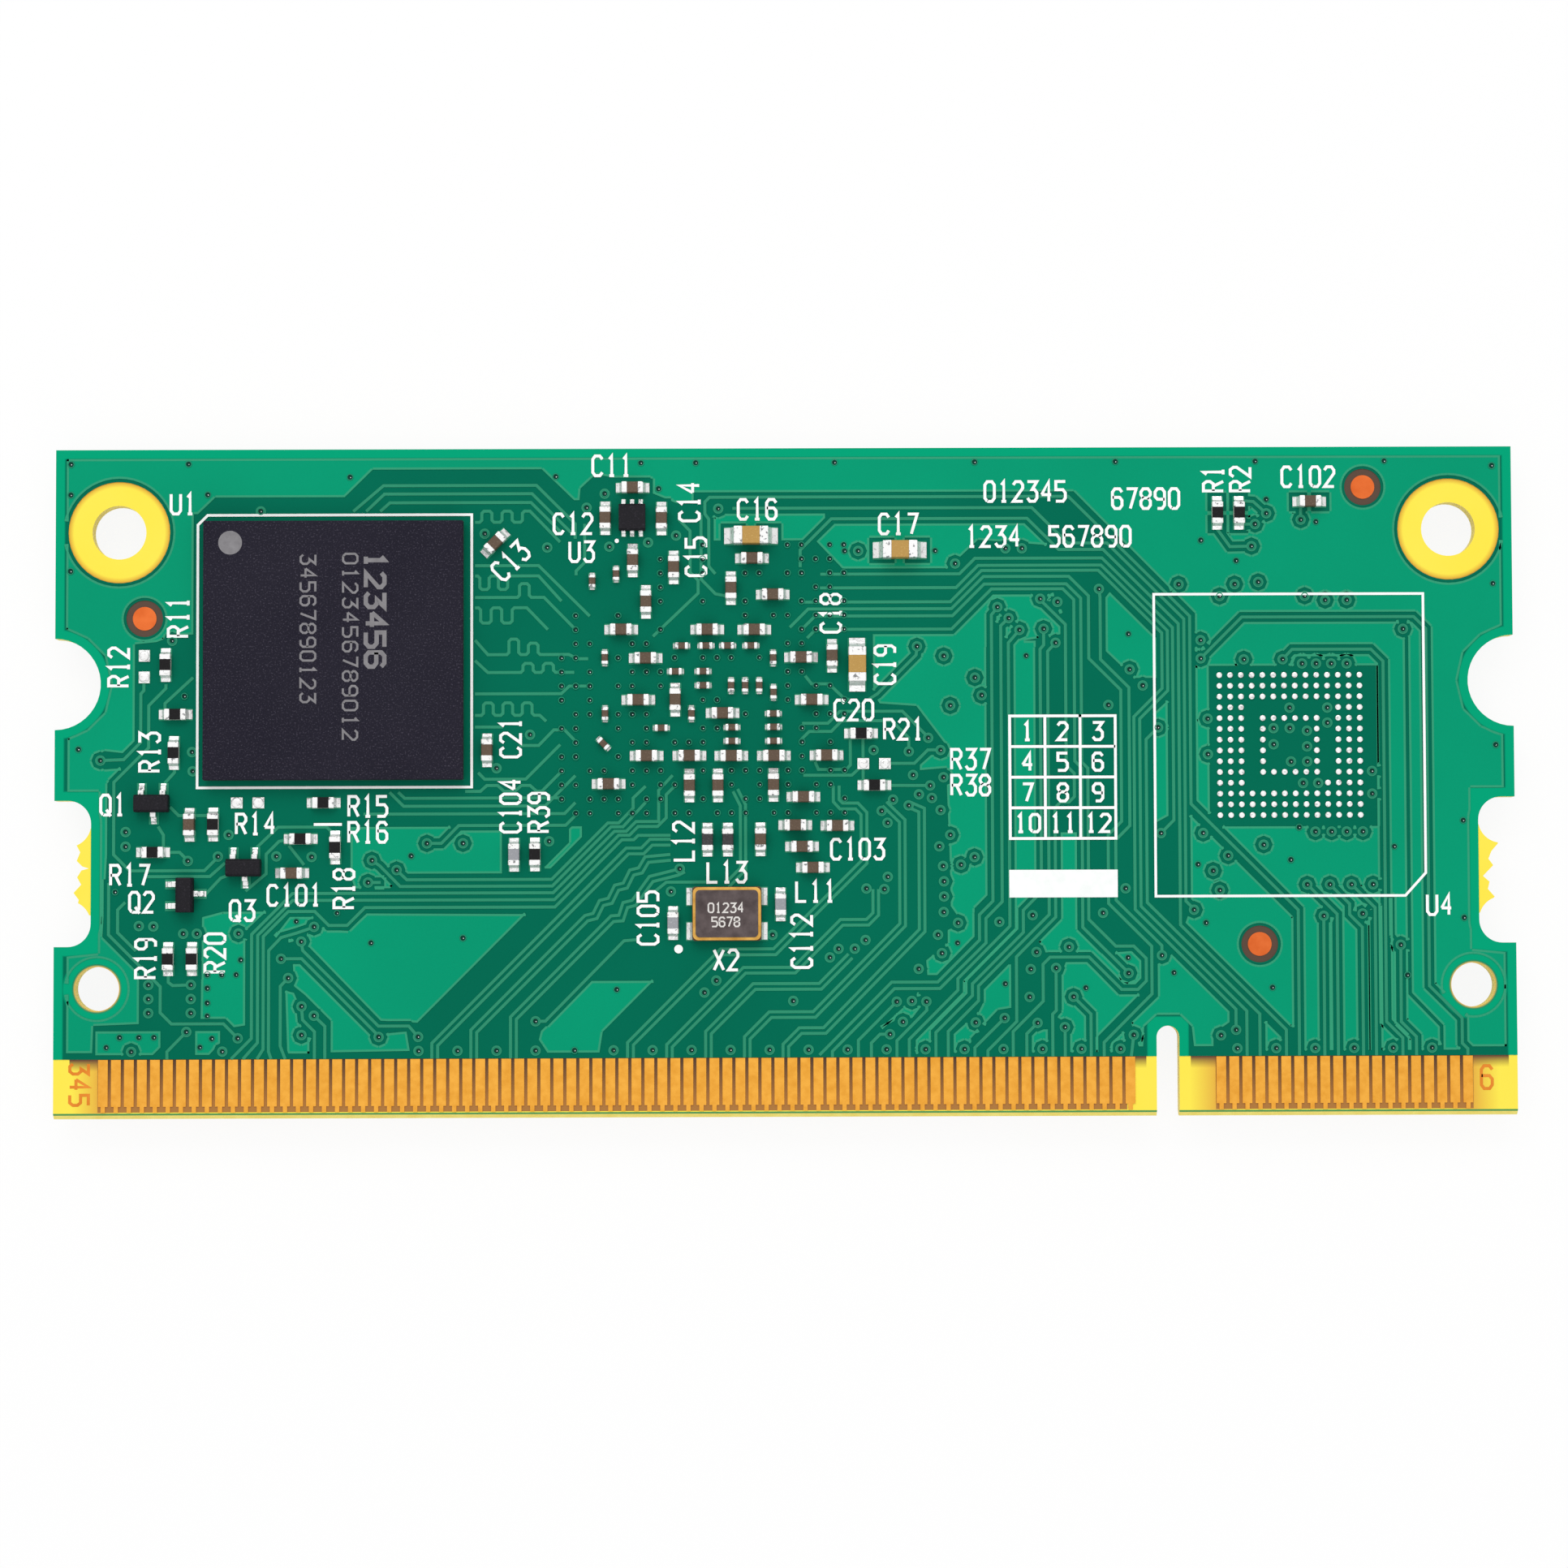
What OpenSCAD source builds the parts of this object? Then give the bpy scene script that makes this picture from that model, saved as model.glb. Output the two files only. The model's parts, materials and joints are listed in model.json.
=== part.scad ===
// System on module: a small computer board that plugs into a 200-contact card-edge socket.
// All sizes in mm. The board lies flat with its memory side up and rests on the processor below it.
// x runs along the connector edge, y from the connector edge to the far edge, z = 0 is the table.

/* [Board] */
// Width along the connector edge
board_w = 67.6; // [66.4:0.1:74]
// Height from the connector edge to the far edge
board_h = 31; // [30:0.1:35]
// Thickness over both outer copper faces
board_t = 1; // [0.8:0.1:1.6]
// Thickness of each solder mask sheet
mask_t = 0.03; // [0.02:0.01:0.05]
// Thickness of the copper that shows as relief
copper_t = 0.02; // [0.01:0.01:0.04]

/* [Edge connector] */
// Pitch of the contact fingers
finger_pitch = 0.6; // [0.5:0.05:0.8]
// Width of a finger
finger_w = 0.45; // [0.3:0.01:0.48]
// Length of a finger without its tail
finger_l = 2.16; // [1.8:0.01:2.2]
// Width of the narrow tail of a finger
finger_tail_w = 0.2; // [0.1:0.01:0.3]
// Board side to the centre of the first finger
finger_margin = 2.3; // [1.6:0.05:3]
// Fingers between the key slot and the right side
right_fingers = 20; // [12:1:20]
// Gap between the two groups, centre to centre
group_gap = 4.2; // [3.8:0.1:5]
// Connector edge to the edge of the solder mask
strip_h = 2.75; // [2.6:0.05:3.2]
// Connector edge to the end of the finger tails
tail_gap = 0.3; // [0.28:0.01:0.4]
// Bevel of the connector edge
edge_bevel = 0.25; // [0.1:0.01:0.27]
// Width of the key slot
key_w = 1.05; // [0.8:0.05:1.4]
// Depth of the key slot from the connector edge
key_depth = 4.15; // [3.6:0.05:4.6]
// Key slot centre left of the middle of the group gap
key_shift = 0.35; // [0:0.05:0.5]

/* [Holes and notches] */
// Diameter of the two mounting holes
hole_d = 2.5; // [2:0.05:3]
// Diameter of the bare ring round a mounting hole
hole_ring_d = 4.72; // [4:0.05:5]
// Mounting hole centre from the board side
hole_inset_x = 2.95; // [2.8:0.05:3.2]
// Mounting hole centre from the far edge
hole_inset_y = 3.85; // [3.2:0.05:4.2]
// Diameter of the two locating holes
pin_hole_d = 2.05; // [1.6:0.05:2.4]
// Bare rim round a locating hole
pin_hole_rim = 0.12; // [0.05:0.01:0.2]
// Locating hole centre from the board side
pin_hole_inset = 2; // [1.8:0.05:2.4]
// Locating hole centre from the connector edge
pin_hole_rise = 6; // [5.8:0.05:6.2]
// Radius of the half-round latch notches
latch_r = 2.12; // [1.8:0.02:2.3]
// Latch notch centre from the connector edge
latch_rise = 20.1; // [19.6:0.05:20.4]
// Length of the routed slot beside a break-off tab
tab_slot_h = 6.76; // [6.2:0.02:7]
// Depth of that slot from the board side
tab_slot_depth = 1.7; // [1.4:0.02:1.9]
// Radius of the router bit that cut it
tab_router_r = 1.07; // [0.8:0.01:1.2]
// Slot centre from the connector edge
tab_rise = 11.32; // [11.1:0.02:11.6]

/* [Memory chip] */
// Side of the square body
memory_size = 12; // [11:0.1:12.4]
// Height above the board face
memory_h = 0.8; // [0.6:0.05:1.2]
// Thickness of its carrier board
memory_carrier_t = 0.15; // [0.1:0.01:0.2]
// Height of its solder balls above the board face
memory_lift = 0.2; // [0.12:0.01:0.3]
// Pitch of the solder balls
memory_pitch = 0.5; // [0.4:0.05:0.65]
// Rows of balls from the edge inward
memory_rings = 2; // [1:1:4]

/* [Processor] */
// Side of the square body
processor_size = 14; // [13:0.1:14.4]
// Height below the board face
processor_h = 1.2; // [1.15:0.05:1.6]
// Thickness of its carrier board
processor_carrier_t = 0.3; // [0.2:0.02:0.4]
// Height of its solder balls
processor_lift = 0.25; // [0.15:0.01:0.35]
// Pitch of the solder balls
processor_pitch = 0.65; // [0.6:0.05:0.8]
// Step from the carrier board to the moulded cap
processor_step = 0.3; // [0.1:0.05:0.6]

/* [Crystal] */
// Length of the ceramic base
crystal_l = 3.2; // [2.8:0.1:3.4]
// Width of the ceramic base
crystal_w = 2.5; // [2:0.1:2.6]
// Height above the board face
crystal_h = 0.65; // [0.55:0.05:0.9]
// Visible rim of the seal ring
crystal_rim = 0.13; // [0.08:0.01:0.2]

/* [Small chips] */
// Transistor body length
sot_l = 1.6; // [1.4:0.05:1.7]
// Transistor body width
sot_w = 0.8; // [0.7:0.05:0.9]
// Transistor height
sot_h = 0.7; // [0.5:0.05:0.8]
// Width of a transistor lead
sot_lead_w = 0.26; // [0.2:0.02:0.34]
// Reach of a lead beyond the body
sot_lead_l = 0.42; // [0.36:0.02:0.48]
// Small regulator body side
tiny_size = 1.22; // [1.1:0.02:1.3]
// Small regulator height
tiny_h = 0.55; // [0.45:0.05:0.7]
// Small regulator lead pitch
tiny_pitch = 0.4; // [0.36:0.02:0.44]

/* [Chip parts] */
// Length of a large passive part
large_l = 1.6; // [1.5:0.05:1.7]
// Width of a large passive part
large_w = 0.82; // [0.7:0.02:0.9]
// Height of a large passive part
large_h = 0.8; // [0.6:0.05:0.9]
// Length of a medium passive part
medium_l = 1; // [0.9:0.02:1.06]
// Width of a medium passive part
medium_w = 0.52; // [0.44:0.02:0.56]
// Height of a medium capacitor
medium_h = 0.5; // [0.4:0.02:0.6]
// Height of a medium resistor
resistor_h = 0.36; // [0.3:0.02:0.42]
// Length of a small capacitor
small_l = 0.6; // [0.54:0.02:0.66]
// Width of a small capacitor
small_w = 0.31; // [0.26:0.01:0.34]
// Height of a small capacitor
small_h = 0.3; // [0.24:0.02:0.36]
// Share of the length that each end cap covers
end_share = 0.25; // [0.18:0.01:0.3]
// Reach of a solder fillet beside a large or medium part
fillet_l = 0.28; // [0.2:0.01:0.32]

/* [Power parts] */
// Inductor body side
coil_size = 3; // [2.6:0.1:3.2]
// Inductor height
coil_h = 1; // [0.8:0.05:1.1]
// Converter body side
converter_size = 3; // [2.6:0.1:3.2]
// Converter height
converter_h = 0.75; // [0.6:0.05:0.9]
// Linear regulator body length
linear_l = 2.9; // [2.7:0.05:3.1]
// Linear regulator body width
linear_w = 1.6; // [1.4:0.05:1.8]
// Linear regulator height
linear_h = 1; // [0.9:0.05:1.1]
// Length of a bulk capacitor
bulk_l = 2; // [1.9:0.05:2.2]
// Width of a bulk capacitor
bulk_w = 1.25; // [1.1:0.05:1.35]
// Height of a bulk capacitor
bulk_h = 0.85; // [0.7:0.05:1]

/* [Copper] */
// Width of a track
track_w = 0.14; // [0.1:0.01:0.16]
// Clear gap between a track and a pour
pour_gap = 0.16; // [0.12:0.01:0.2]
// Radius of a via land
via_land_r = 0.24; // [0.18:0.01:0.28]
// Radius of a via plug
via_plug_r = 0.11; // [0.07:0.01:0.14]
// Diameter of a land of the empty storage footprint
land_d = 0.26; // [0.2:0.01:0.36]
// Pitch of those lands
land_pitch = 0.5; // [0.45:0.05:0.6]
// Radius of an alignment mark
mark_r = 0.55; // [0.4:0.01:0.6]
// Radius of the mask opening round an alignment mark
mark_clear_r = 0.85; // [0.7:0.01:0.95]

/* [Hidden] */
$fn = 48;
half_w = board_w / 2;
half_h = board_h / 2;
core_t = board_t - 2 * mask_t - 2 * copper_t;
under_z = max(processor_h, coil_h, linear_h, bulk_h, converter_h);
seat_z = under_z + board_t;
mask_edge_y = strip_h - half_h;

// The plan is drawn on 67.6 x 31; what sits near a side or edge follows it
plan_dx = (board_w - 67.6) / 2;
plan_dy = (board_h - 31) / 2;
function ramp(v, a, b) = min(1, max(0, (v - a) / (b - a)));
function at(p) = [
  p.x + plan_dx * (ramp(p.x, 4, 16) - ramp(-p.x, 10.8, 14.2)),
  p.y + plan_dy * (ramp(p.y, 14, 15) - ramp(-p.y, 9, 12)),
];

hole_at = [half_w - hole_inset_x, half_h - hole_inset_y];
pin_hole_at = [half_w - pin_hole_inset, pin_hole_rise - half_h];
latch_y = latch_rise - half_h;
tab_y = tab_rise - half_h;

// Finger rows: the right group starts at the right side, the left group ends at the left side
right_first = half_w - finger_margin;
right_last = right_first - (right_fingers - 1) * finger_pitch;
left_first = right_last - group_gap;
left_fingers = floor((left_first + half_w - finger_margin) / finger_pitch + 1.001);
finger_xs = concat(
  [for (k = [0:right_fingers - 1]) right_first - k * finger_pitch],
  [for (k = [0:left_fingers - 1]) left_first - k * finger_pitch]
);
key_x = (right_last + left_first) / 2 - key_shift;

memory_at = [-20.85, 6.1];
processor_at = [-3.8, 4.43];
crystal_at = [-2.7, -6.12];
tiny_at = [-7.05, 12.26];
storage_at = [23.4, 1.62];
marks = [[-29.66, 7.64], [26.89, 13.62], [21.93, -7.59]];

// Placements are [x, y, turn]
transistors = [[-29.25, -0.95, 0], [-25, -3.93, 0], [-27.7, -5.18, 90]];
large_caps = [[-1.54, 11.4, 0], [5.36, 10.72, 0], [3.36, 5.4, 90]];
medium_caps = [
  // along the top
  [-13.4, 11.1, 45], [-7.03, 13.66, 0], [-8.3, 12.25, 90], [-5.69, 12.23, 90],
  [-7.03, 10.28, 90], [-5.13, 9.95, 90], [-1.5, 10.36, 0],
  // over the processor
  [-2.48, 8.98, 90], [-0.54, 8.67, 0], [-6.42, 8.35, 90], [-7.57, 7.06, 0],
  [-3.58, 7.05, 0], [-1.4, 7.04, 0], [-6.44, 5.73, 0], [0.76, 5.75, 0], [2.2, 5.82, 90],
  [-5.07, 3.8, 90], [-6.78, 3.79, 0], [-2.88, 3.17, 0], [1.25, 3.78, 0],
  [-6.4, 1.2, 0], [-4.42, 1.2, 0], [-2.48, 1.19, 0], [-0.51, 1.19, 0], [1.93, 1.2, 0],
  [-4.42, -0.18, 90], [-3.1, -0.18, 90], [-0.53, -0.16, 90], [-8.16, -0.1, 0],
  // below and beside it
  [-13.78, 1.48, 90], [0.85, -0.72, 0], [0.47, -2.03, 0], [2.42, -2.06, 0],
  [0.78, -3.02, 0], [1.28, -3.99, 0], [-1.14, -2.68, 90],
  // left and right corners
  [-27.53, -1.93, 90], [-22.79, -4.18, 0], [24.4, 12.93, 0],
];
pale_caps = [[-12.53, -3.36, 90], [-5.19, -6.54, 90], [-0.22, -5.69, 90]];
beads = [[-3.59, -2.69, 90], [-2.65, -2.69, 90]];
resistors = [
  [-28.66, 5.48, 90], [-28.2, 3.18, 0], [-28.27, 1.4, 90], [-26.44, -1.92, 90],
  [-21.34, -0.93, 0], [-22.4, -2.6, 0], [-20.8, -3, 90], [-29.22, -3.2, 0],
  [-28.5, -8.13, 90], [-27.4, -8.13, 90], [20.11, 12.42, 90], [21.12, 12.42, 90],
  [3.53, 2.21, 0], [4.14, -0.19, 0], [-11.57, -3.35, 90],
];
small_caps = [
  [-8.91, 9.32, 90], [-7.8, 9.65, 90], [-4.77, 6.3, 0], [-3.64, 6.3, 0], [-2.64, 6.3, 0],
  [-1.56, 6.3, 0], [-8.33, 5.76, 90], [-0.53, 5.73, 90], [-5.06, 5.11, 0], [-3.78, 5.11, 0],
  [-3.78, 4.46, 0], [-2.48, 4.45, 90], [-1.83, 4.45, 90], [-1.18, 4.45, 90], [-0.52, 4.13, 90],
  [-8.32, 3.16, 90], [-4.32, 3.15, 90], [-0.53, 3.14, 0], [-5.72, 2.49, 0], [-2.45, 2.51, 0],
  [-2.45, 1.87, 0], [-0.52, 2.52, 0], [-0.52, 1.87, 0], [-8.4, 1.77, -45],
];
bare_parts = [[-29.66, 5.41, 90], [-24.86, -0.92, 0], [4.13, 0.81, 0]];

// Hidden side
coils = [[-26.6, 9.6, 0], [-26.6, 5.6, 0], [-26.6, 0.6, 0], [-26.6, -3.4, 0]];
converters = [[-21.6, 7.6, 0], [-21.6, -1.4, 0]];
bulk_caps = [
  [-16.6, 10.6, 0], [-16.6, 8.6, 0], [-16.6, 1.6, 0], [-16.6, -0.4, 0],
  [-30.6, 5.6, 90], [-30.6, 0.6, 90], [9.4, 10.2, 0], [9.4, 4.2, 0],
];
linears = [[9.4, 7.4, 0], [9.4, 1.4, 0]];
under_caps = concat(
  [for (k = [0:6]) [4.9, -1.2 + 1.9 * k, 90]],
  [for (k = [0:6]) [-12.4, -1.2 + 1.9 * k, 90]],
  [for (k = [0:3]) [-21.6 + 1.9 * k, 3.2, 0]],
  [for (k = [0:3]) [-21.6 + 1.9 * k, -5.4, 0]]
);
under_resistors = concat(
  [for (k = [0:7]) [14.5 + 1.2 * k, 9.5, 90]],
  [for (k = [0:9]) [-9.4 + 2.1 * k, -7.6, 90]]
);

// Faces: children stand on the outer copper of the upper or the lower face
module on_top() {
  translate([0, 0, seat_z]) children();
}

module on_bottom() {
  translate([0, 0, under_z]) mirror([0, 0, 1]) children();
}

module spot(p) {
  q = at(p);
  translate([q.x, q.y, 0]) rotate(len(p) > 2 ? p[2] : 0) children();
}

// Bar along x, standing on z = 0, with its four long edges chamfered
module bar(l, w, h, c) {
  rotate([90, 0, 90]) linear_extrude(l, center = true) polygon([
    [c - w / 2, 0], [w / 2 - c, 0], [w / 2, c], [w / 2, h - c],
    [w / 2 - c, h], [c - w / 2, h], [-w / 2, h - c], [-w / 2, c],
  ]);
}

module block(l, w, h) {
  translate([-l / 2, -w / 2, 0]) cube([l, w, h]);
}

// Solder fillet against a wall at x = 0, hollow in section, reaching l outward and h up
module fillet(l, w, h) {
  rotate([90, 0, 0]) linear_extrude(w, center = true) polygon([
    [0, 0], [l, 0], [l, h * 0.1], [l * 0.4, h * 0.34], [0, h * 0.9],
  ]);
}

// Two-ended chip parts
function end_l(l) = l * end_share;
module chip_body(l, w, h) {
  translate([0, 0, 0.01]) bar(l - 2 * end_l(l), w - 0.02, h - 0.02, 0.03);
}
module chip_ends(l, w, h) {
  for (s = [-1, 1]) translate([s * (l - end_l(l)) / 2, 0, 0]) bar(end_l(l), w, h, 0.04);
}
module chip_joints(l, w, h, reach) {
  for (t = [0, 180]) rotate(t) translate([l / 2, 0, 0]) fillet(reach, w - 0.08, h * 0.8);
}
// Lands under such a part, as a flat shape
module chip_lands(l, w, reach) {
  for (s = [-1, 1]) translate([s * (l / 2 - end_l(l) / 2 + reach / 2), 0])
    square([end_l(l) + reach, w + 0.04], center = true);
}
small_reach = fillet_l * 0.35;

// Mitred ribbon along a path of points, as a flat shape
function unit(v) = v / norm(v);
function left_of(v) = [-v.y, v.x];
function corner(path, i, d) = let (
  n = len(path) - 1,
  a = left_of(unit(i > 0 ? path[i] - path[i - 1] : path[1] - path[0])),
  b = left_of(unit(i < n ? path[i + 1] - path[i] : path[n] - path[n - 1])),
  m = a + b
) path[i] + m * (2 * d / (m * m));
function shifted(path, d) = [for (i = [0:len(path) - 1]) corner(path, i, d)];
function reversed(list) = [for (i = [len(list) - 1:-1:0]) list[i]];
module ribbon(path, w) {
  polygon(concat(shifted(path, w / 2), reversed(shifted(path, -w / 2))));
}
// A route is [lines, pitch, path]; the lines lie evenly about the path
module route(r, w) {
  path = [for (p = r[2]) at(p)];
  for (k = [0:r[0] - 1]) ribbon(shifted(path, (k - (r[0] - 1) / 2) * r[1]), w);
}
// Meander from a to b: n square bumps with cut corners, h to the left of the line (h < 0: to the right)
bump_cut = 0.1;
function meander(a, b, h, n) = let (
  u = unit(b - a),
  s = left_of(u) * sign(h),
  q = norm(b - a) / n / 4,
  top = abs(h)
) [
  for (k = [0:n - 1]) let (p = a + u * q * (4 * k + 1), r = p + u * 2 * q) each [
    p - u * bump_cut, p + s * bump_cut, p + s * (top - bump_cut), p + u * bump_cut + s * top,
    r - u * bump_cut + s * top, r + s * (top - bump_cut), r + s * bump_cut, r + u * bump_cut,
  ]
];

// Tracks on the memory side
routes_top = [
  // from the memory, over its top edge
  [1, 0, [[-20, 12.6], [-18.6, 13.8], [-11.5, 13.8], [-9.7, 12], [-9.7, 11.3]]],
  [1, 0, [[-19.4, 12.6], [-18.55, 13.41], [-11.7, 13.41], [-9.9, 11.6]]],
  [1, 0, [[-18.75, 12.6], [-18.3, 13], [-11.75, 13], [-10.3, 11.55]]],
  [1, 0, [[-9.26, 12], [-9.26, 10.2], [-9.66, 9.8], [-9.66, 9.6]]],
  // from the memory to the processor, with meanders that even out their lengths
  [1, 0, concat(
    [[-14.35, 12.08]], meander([-14.27, 12.08], [-12.39, 12.08], 0.52, 2),
    [[-12.24, 12.08], [-12.15, 12.17], [-12.15, 12.5], [-12.05, 12.6], [-11.8, 12.6], [-10.4, 11.15]]
  )],
  [1, 0, [[-14.35, 10.06], [-11.4, 10.06], [-9.03, 7.7]]],
  [1, 0, concat(
    [[-14.35, 9.58]], meander([-14.34, 9.58], [-12.62, 9.58], -0.63, 2), [[-11.4, 9.58], [-10.34, 8.4]]
  )],
  [1, 0, concat(
    [[-14.35, 8.58]], meander([-12.51, 8.58], [-11.61, 8.58], 0.64, 1), [[-11.15, 8.58], [-9.68, 7.07]]
  )],
  [1, 0, concat(
    [[-14.35, 8.1]], meander([-14.33, 8.1], [-12.38, 8.1], -0.71, 2), [[-11.95, 8.1], [-10.97, 7.08]]
  )],
  [1, 0, concat(
    [[-14.35, 6.6], [-13.75, 5.92]], meander([-13, 5.92], [-12.1, 5.92], 0.72, 1),
    meander([-12.1, 5.92], [-11.2, 5.92], 0.53, 1), [[-10, 5.92], [-9.6, 5.72], [-9.1, 5.72]]
  )],
  [1, 0, concat(
    [[-14.35, 5.65], [-13.75, 5.09]], meander([-12.36, 5.09], [-10.48, 5.09], 0.42, 2), [[-9.75, 5.09]]
  )],
  [1, 0, [[-14.35, 4.1], [-10.35, 4.1], [-9.98, 4.45], [-9.1, 4.45]]],
  [1, 0, concat(
    [[-14.35, 3.1]], meander([-14.18, 3.1], [-11.48, 3.1], 0.58, 3), [[-11.35, 3.1], [-11.05, 2.82]]
  )],
  [1, 0, [[-14.35, 2.56], [-13.05, 2.56]]],
  [1, 0, [[-12.3, 1.7], [-11.4, 1.7], [-10.7, 2.42], [-10.2, 2.42], [-9.7, 1.9]]],
  [1, 0, [[-14.2, 0.45], [-13.9, 0.14], [-12, 0.14], [-10.4, 1.74]]],
  [1, 0, [[-14.8, -0.42], [-14.1, -0.42], [-13.8, -0.15], [-13.3, -0.15], [-13, -0.42], [-12.5, -0.42],
    [-12.2, -0.15], [-11.8, -0.15], [-11.5, -0.42], [-11.25, -0.42], [-10.34, 0.5]]],
  [1, 0, [[-17.9, -0.45], [-17.6, -0.73], [-10.4, -0.73]]],
  [1, 0, [[-18.3, -0.45], [-17.65, -1.1], [-11.1, -1.1], [-9.7, 0.3]]],
  [1, 0, [[-19.5, -1.46], [-10.2, -1.46], [-9.7, -0.95]]],
  [1, 0, [[-16.57, -2.82], [-15.9, -2.82], [-15.1, -2], [-10.15, -2], [-9.7, -1.55]]],
  // lines below the memory, up into the processor
  [1, 0, [[-17.97, -4.05], [-17.5, -4.5], [-10.8, -4.5], [-8.2, -1.9], [-7.7, -1.9], [-7.03, -1.22],
    [-7.03, -0.75], [-6.45, -0.2]]],
  [1, 0, [[-19.11, -3.6], [-18.75, -3.85], [-17.8, -4.81], [-10.77, -4.81], [-8.05, -2.08], [-7.5, -2.08],
    [-6.45, -0.95]]],
  [1, 0, [[-25.6, -12.75], [-24.66, -11.8], [-24.66, -7], [-22.78, -5.12], [-10.73, -5.12], [-7.9, -2.29],
    [-7.35, -2.29], [-6.9, -1.84], [-5.85, -1.84], [-5.85, -0.4], [-5.2, 0.3]]],
  [1, 0, [[-25.05, -12.75], [-24.38, -12], [-24.38, -7.05], [-22.77, -5.44], [-10.67, -5.44],
    [-7.7, -2.47], [-7.2, -2.47], [-6.8, -2.07], [-5.9, -2.07], [-5.5, -1.67], [-5.5, -0.6],
    [-5.15, -0.25]]],
  [1, 0, [[-24.4, -12.75], [-24.12, -12.3], [-24.12, -7.1], [-22.97, -5.95], [-21.75, -5.95],
    [-21.1, -6.6], [-20.25, -6.6], [-19.43, -5.78], [-10.65, -5.78], [-7.55, -2.68], [-7, -2.68],
    [-6.8, -2.48], [-5.3, -2.48]]],
  [1, 0, [[-23.75, -12.75], [-23.87, -12.4], [-23.87, -7.75], [-23.3, -7.15], [-22.6, -6.95],
    [-21.8, -6.68]]],
  [1, 0, [[-19.29, -4.62], [-18.7, -4.62]]],
  // left corner
  [1, 0, [[-29.68, 4.7], [-29.68, 4.3], [-29.82, 4.15], [-29.82, 1.9], [-30.6, 1.1], [-31.68, 1.06]]],
  [1, 0, [[-28.66, 4.6], [-28.66, 4.4], [-29.45, 3.6], [-29.45, 1.65], [-31.05, 0.05], [-31.05, -3.3],
    [-30.3, -4.05], [-26.85, -4.05], [-26.25, -3.45]]],
  [1, 0, [[-27.4, 4.9], [-28.7, 3.7], [-28.7, 3.3]]],
  [1, 0, [[-28.7, 0], [-28.25, 0.5], [-28.25, 0.8]]],
  [1, 0, [[-28.45, -1.1], [-28.05, -1.5], [-26.5, -1.5]]],
  [1, 0, [[-29, -2], [-28.75, -2.4], [-28.75, -3.1]]],
  [1, 0, [[-28.6, -3.2], [-28, -3.2], [-27.65, -3.55]]],
  [1, 0, [[-29.6, -4.32], [-26.6, -4.32], [-25.9, -3.7]]],
  [1, 0, [[-26.8, -5.15], [-26.1, -4.4], [-25.6, -4.2]]],
  [1, 0, [[-24.95, -5], [-24, -4.2], [-24, -3.3], [-23.4, -2.7], [-22.8, -2.6]]],
  [1, 0, [[-24.45, -3], [-23.45, -2.05], [-21.2, -2.05], [-20.85, -2.4]]],
  [1, 0, [[-22.95, -2.9], [-22.25, -3.8]]],
  [1, 0, [[-31.27, -4.6], [-31.27, -7], [-28.87, -9.4], [-28.87, -10.6], [-28.35, -11.12],
    [-25.95, -11.12], [-25.29, -11.79]]],
  [1, 0, [[-30.5, -5.5], [-30.85, -5.85], [-30.85, -6.9], [-30, -7.75]]],
  [1, 0, [[-28.5, -8.8], [-28.5, -9.2], [-28.3, -9.35], [-27.46, -9.32]]],
  [1, 0, [[-27.66, -11.49], [-28.55, -12.4], [-28.55, -12.75]]],
  [1, 0, [[-23.3, -8.13], [-22.35, -8.13], [-18.79, -11.7]]],
  [1, 0, [[-22.37, -7.34], [-22.3, -7.75], [-18.8, -11.25], [-17.4, -11.25], [-16.97, -11.75]]],
  [1, 0, [[-22.97, -9.02], [-23.33, -9.4], [-23.33, -12.15], [-23.1, -12.75]]],
  [1, 0, [[-22.35, -10.33], [-22.3, -10.95], [-21.75, -11.5], [-21.75, -12.75]]],
  [1, 0, [[-21.78, -10.76], [-21.27, -11.25], [-21.27, -12.75]]],
  // pairs from the fingers, up into the processor
  [2, 0.27, [[-16.2, -12.75], [-16.2, -12.1], [-7.3, -3.2], [-6.6, -3.2], [-6.2, -2.8], [-5.3, -2.8]]],
  [2, 0.27, [[-14.4, -12.75], [-14.4, -11.5], [-9.2, -6.3], [-8.8, -6.2], [-8.5, -5.6], [-8.1, -5.5],
    [-7.8, -4.9], [-7.4, -4.8], [-7.1, -4.2], [-6.7, -4.1], [-6.4, -3.6], [-5.3, -3.5]]],
  [2, 0.27, [[-12.57, -12.75], [-12.57, -10.9], [-8, -6.33], [-7.6, -6.3], [-7.4, -5.7], [-7, -5.6],
    [-6.2, -4.5], [-5, -4.2], [-4.7, -4.05]]],
  [1, 0, [[-11.55, -11.05], [-11.1, -11.05], [-7.46, -7.35], [-6.85, -7.3]]],
  [1, 0, [[-6, -5.05], [-5.5, -4.65], [-3.6, -4.65]]],
  [2, 0.24, [[-2.3, -0.4], [-1.95, -1.1], [-1.95, -4.05], [-2.7, -4.8]]],
  [2, 0.27, [[-7.17, -12.75], [-7.17, -12.1], [-2.95, -7.88], [-0.5, -7.88], [3.65, -3.75], [3.65, -1.5],
    [3.32, -1.15], [2.6, -1.15], [2.37, -0.9], [2.37, -0.2]]],
  [2, 0.26, [[-5.37, -12.75], [-5.37, -12.2], [-1.9, -8.73], [0.4, -8.73], [2.6, -6.53], [3.8, -6.53],
    [4.18, -6.15], [4.18, -5]]],
  [2, 0.26, [[-3.57, -12.75], [-3.57, -11.6], [-1.45, -9.48], [1.6, -9.48], [3, -8.08]]],
  [2, 0.26, [[-1.78, -12.75], [-1.78, -11.85], [-0.71, -10.78], [1.32, -10.78], [5.42, -6.65],
    [5.42, -1.85], [4.6, -1.05]]],
  [2, 0.26, [[0, -12.75], [0, -12.2], [0.68, -11.52], [1.8, -11.52], [6.32, -6.92], [6.32, -1.35],
    [5.75, -1.1]]],
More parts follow.
